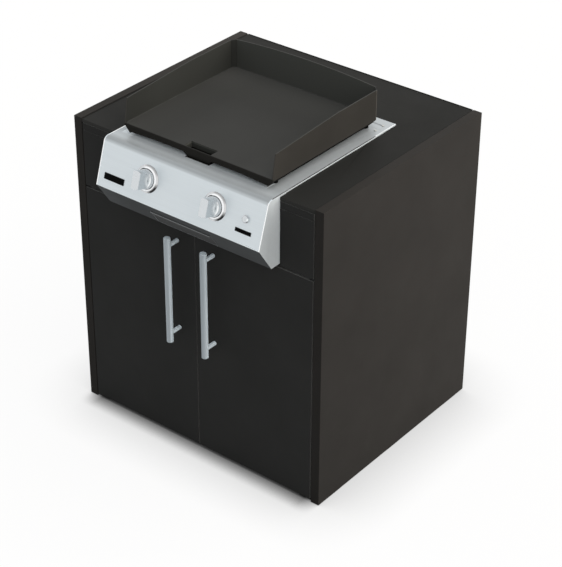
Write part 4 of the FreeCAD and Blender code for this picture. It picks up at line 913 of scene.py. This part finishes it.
burner_steel = finish("heated burner steel", drawn_metal(**BURNER_LOOK), BARE_METAL)
dress(["burner_left", "burner_right"], burner_steel)


# Grease drawer: a folded stainless tray that hangs on its runner, in a darker grey than the head.
# The underside and the front, which faces down and forward, are dull and painted darker as shade,
# as on the head's underside; the inside is bare.
DRAWER_BRUSH = dict(Colour=(0.22, 0.23, 0.235, 1), Stretch=(6.0, 600.0, 600.0), Streak=0.05,
                    Roughness=0.40)
DRAWER_RELIEF = 0.000005
DRAWER_METAL = 0.30
DOWNWARD_PAINTED_SHADE, DULL_METAL, DULL_ROUGHER = -0.880, -0.28, 0.40


def drawer_look(tree):
    """Bare inside, and rougher and less metallic where the sheet faces down, where its colour is
    painted darker as shade.
    """
    given = from_group(tree, brushed, **DRAWER_BRUSH)
    # Painted shade where the sheet faces down.
    dull = ramp(tree, parts(tree, coord(tree, "Normal"))["Z"], *UNDER_TURN)
    shade = calc(tree, "MULTIPLY_ADD", dull, DOWNWARD_PAINTED_SHADE, 1.0)
    return {"Base Color": tinted(tree, given["Colour"], shade),
            "Metallic": calc(tree, "MULTIPLY_ADD", dull, DULL_METAL, DRAWER_METAL),
            "Roughness": calc(tree, "MULTIPLY_ADD", dull, DULL_ROUGHER, given["Roughness"]),
            "Height": given["Height"], "Depth": DRAWER_RELIEF}


drawer_steel = finish("dull drawer steel", drawer_look)
dress(["grease_drawer"], drawer_steel, THIN_RADIUS)


# Gas parts: turned brass valves, stem collars and inlet, screwed into a manifold of painted
# steel tube behind the control face.
BRASS_LOOK = dict(colour=(0.62, 0.45, 0.20, 1), stretch=(500.0, 500.0, 500.0), streak=0.10,
                  rough=0.30, depth=0.00001)
MANIFOLD_LOOK = dict(colour=(0.012, 0.012, 0.013, 1), grain=420.0, tone=0.10, rough=0.38,
                     depth=0.00004)
GLOSSY_SHINE = {"Specular IOR Level": 0.5}

gas_brass = finish("machined brass", drawn_metal(**BRASS_LOOK), BARE_METAL)
dress(["valve_left", "valve_right", "collar_left", "collar_right", "gas_inlet"], gas_brass,
      THIN_RADIUS)
manifold_paint = finish("manifold paint", coated(**MANIFOLD_LOOK), GLOSSY_SHINE)
dress(["manifold"], manifold_paint)


# Electrodes: white glazed ceramic round a fine wire tip, fired in one piece and fixed beside
# the burners.
CERAMIC_LOOK = dict(colour=(0.72, 0.70, 0.66, 1), grain=500.0, tone=0.05, rough=0.25,
                    depth=0.00002)

electrode_ceramic = finish("electrode ceramic", coated(**CERAMIC_LOOK), GLOSSY_SHINE)
dress(["electrodes"], electrode_ceramic)


# Glides and bushes: moulded black nylon, pressed into place. Catches: black plastic with a
# magnet face, fixed to the cross rail.
NYLON_LOOK = dict(colour=(0.012, 0.012, 0.012, 1), grain=900.0, tone=0.10, rough=0.55,
                  depth=0.00003)
CATCH_LOOK = dict(colour=(0.020, 0.020, 0.021, 1), grain=700.0, tone=0.10, rough=0.48,
                  depth=0.00003)
PLASTIC_SHINE = {"Specular IOR Level": 0.4}

glide_plastic = finish("black nylon", coated(**NYLON_LOOK), PLASTIC_SHINE)
dress(["glides", "bushes_left", "bushes_right"], glide_plastic, THIN_RADIUS)
catch_plastic = finish("catch plastic", coated(**CATCH_LOOK), PLASTIC_SHINE)
dress(["door_catches"], catch_plastic, THIN_RADIUS)


# Hose grommet: soft black rubber, moulded and pressed into the back panel's hole, where it
# keeps the sheet's edge off the gas hose.
GROMMET_LOOK = dict(colour=(0.010, 0.010, 0.010, 1), grain=600.0, tone=0.12, rough=0.70,
                    depth=0.00004)
GROMMET_SHINE = {"Specular IOR Level": 0.3}
GROMMET_RADIUS = 0.0006

grommet_rubber = finish("grommet rubber", coated(**GROMMET_LOOK), GROMMET_SHINE)
dress(["hose_grommet"], grommet_rubber, GROMMET_RADIUS)
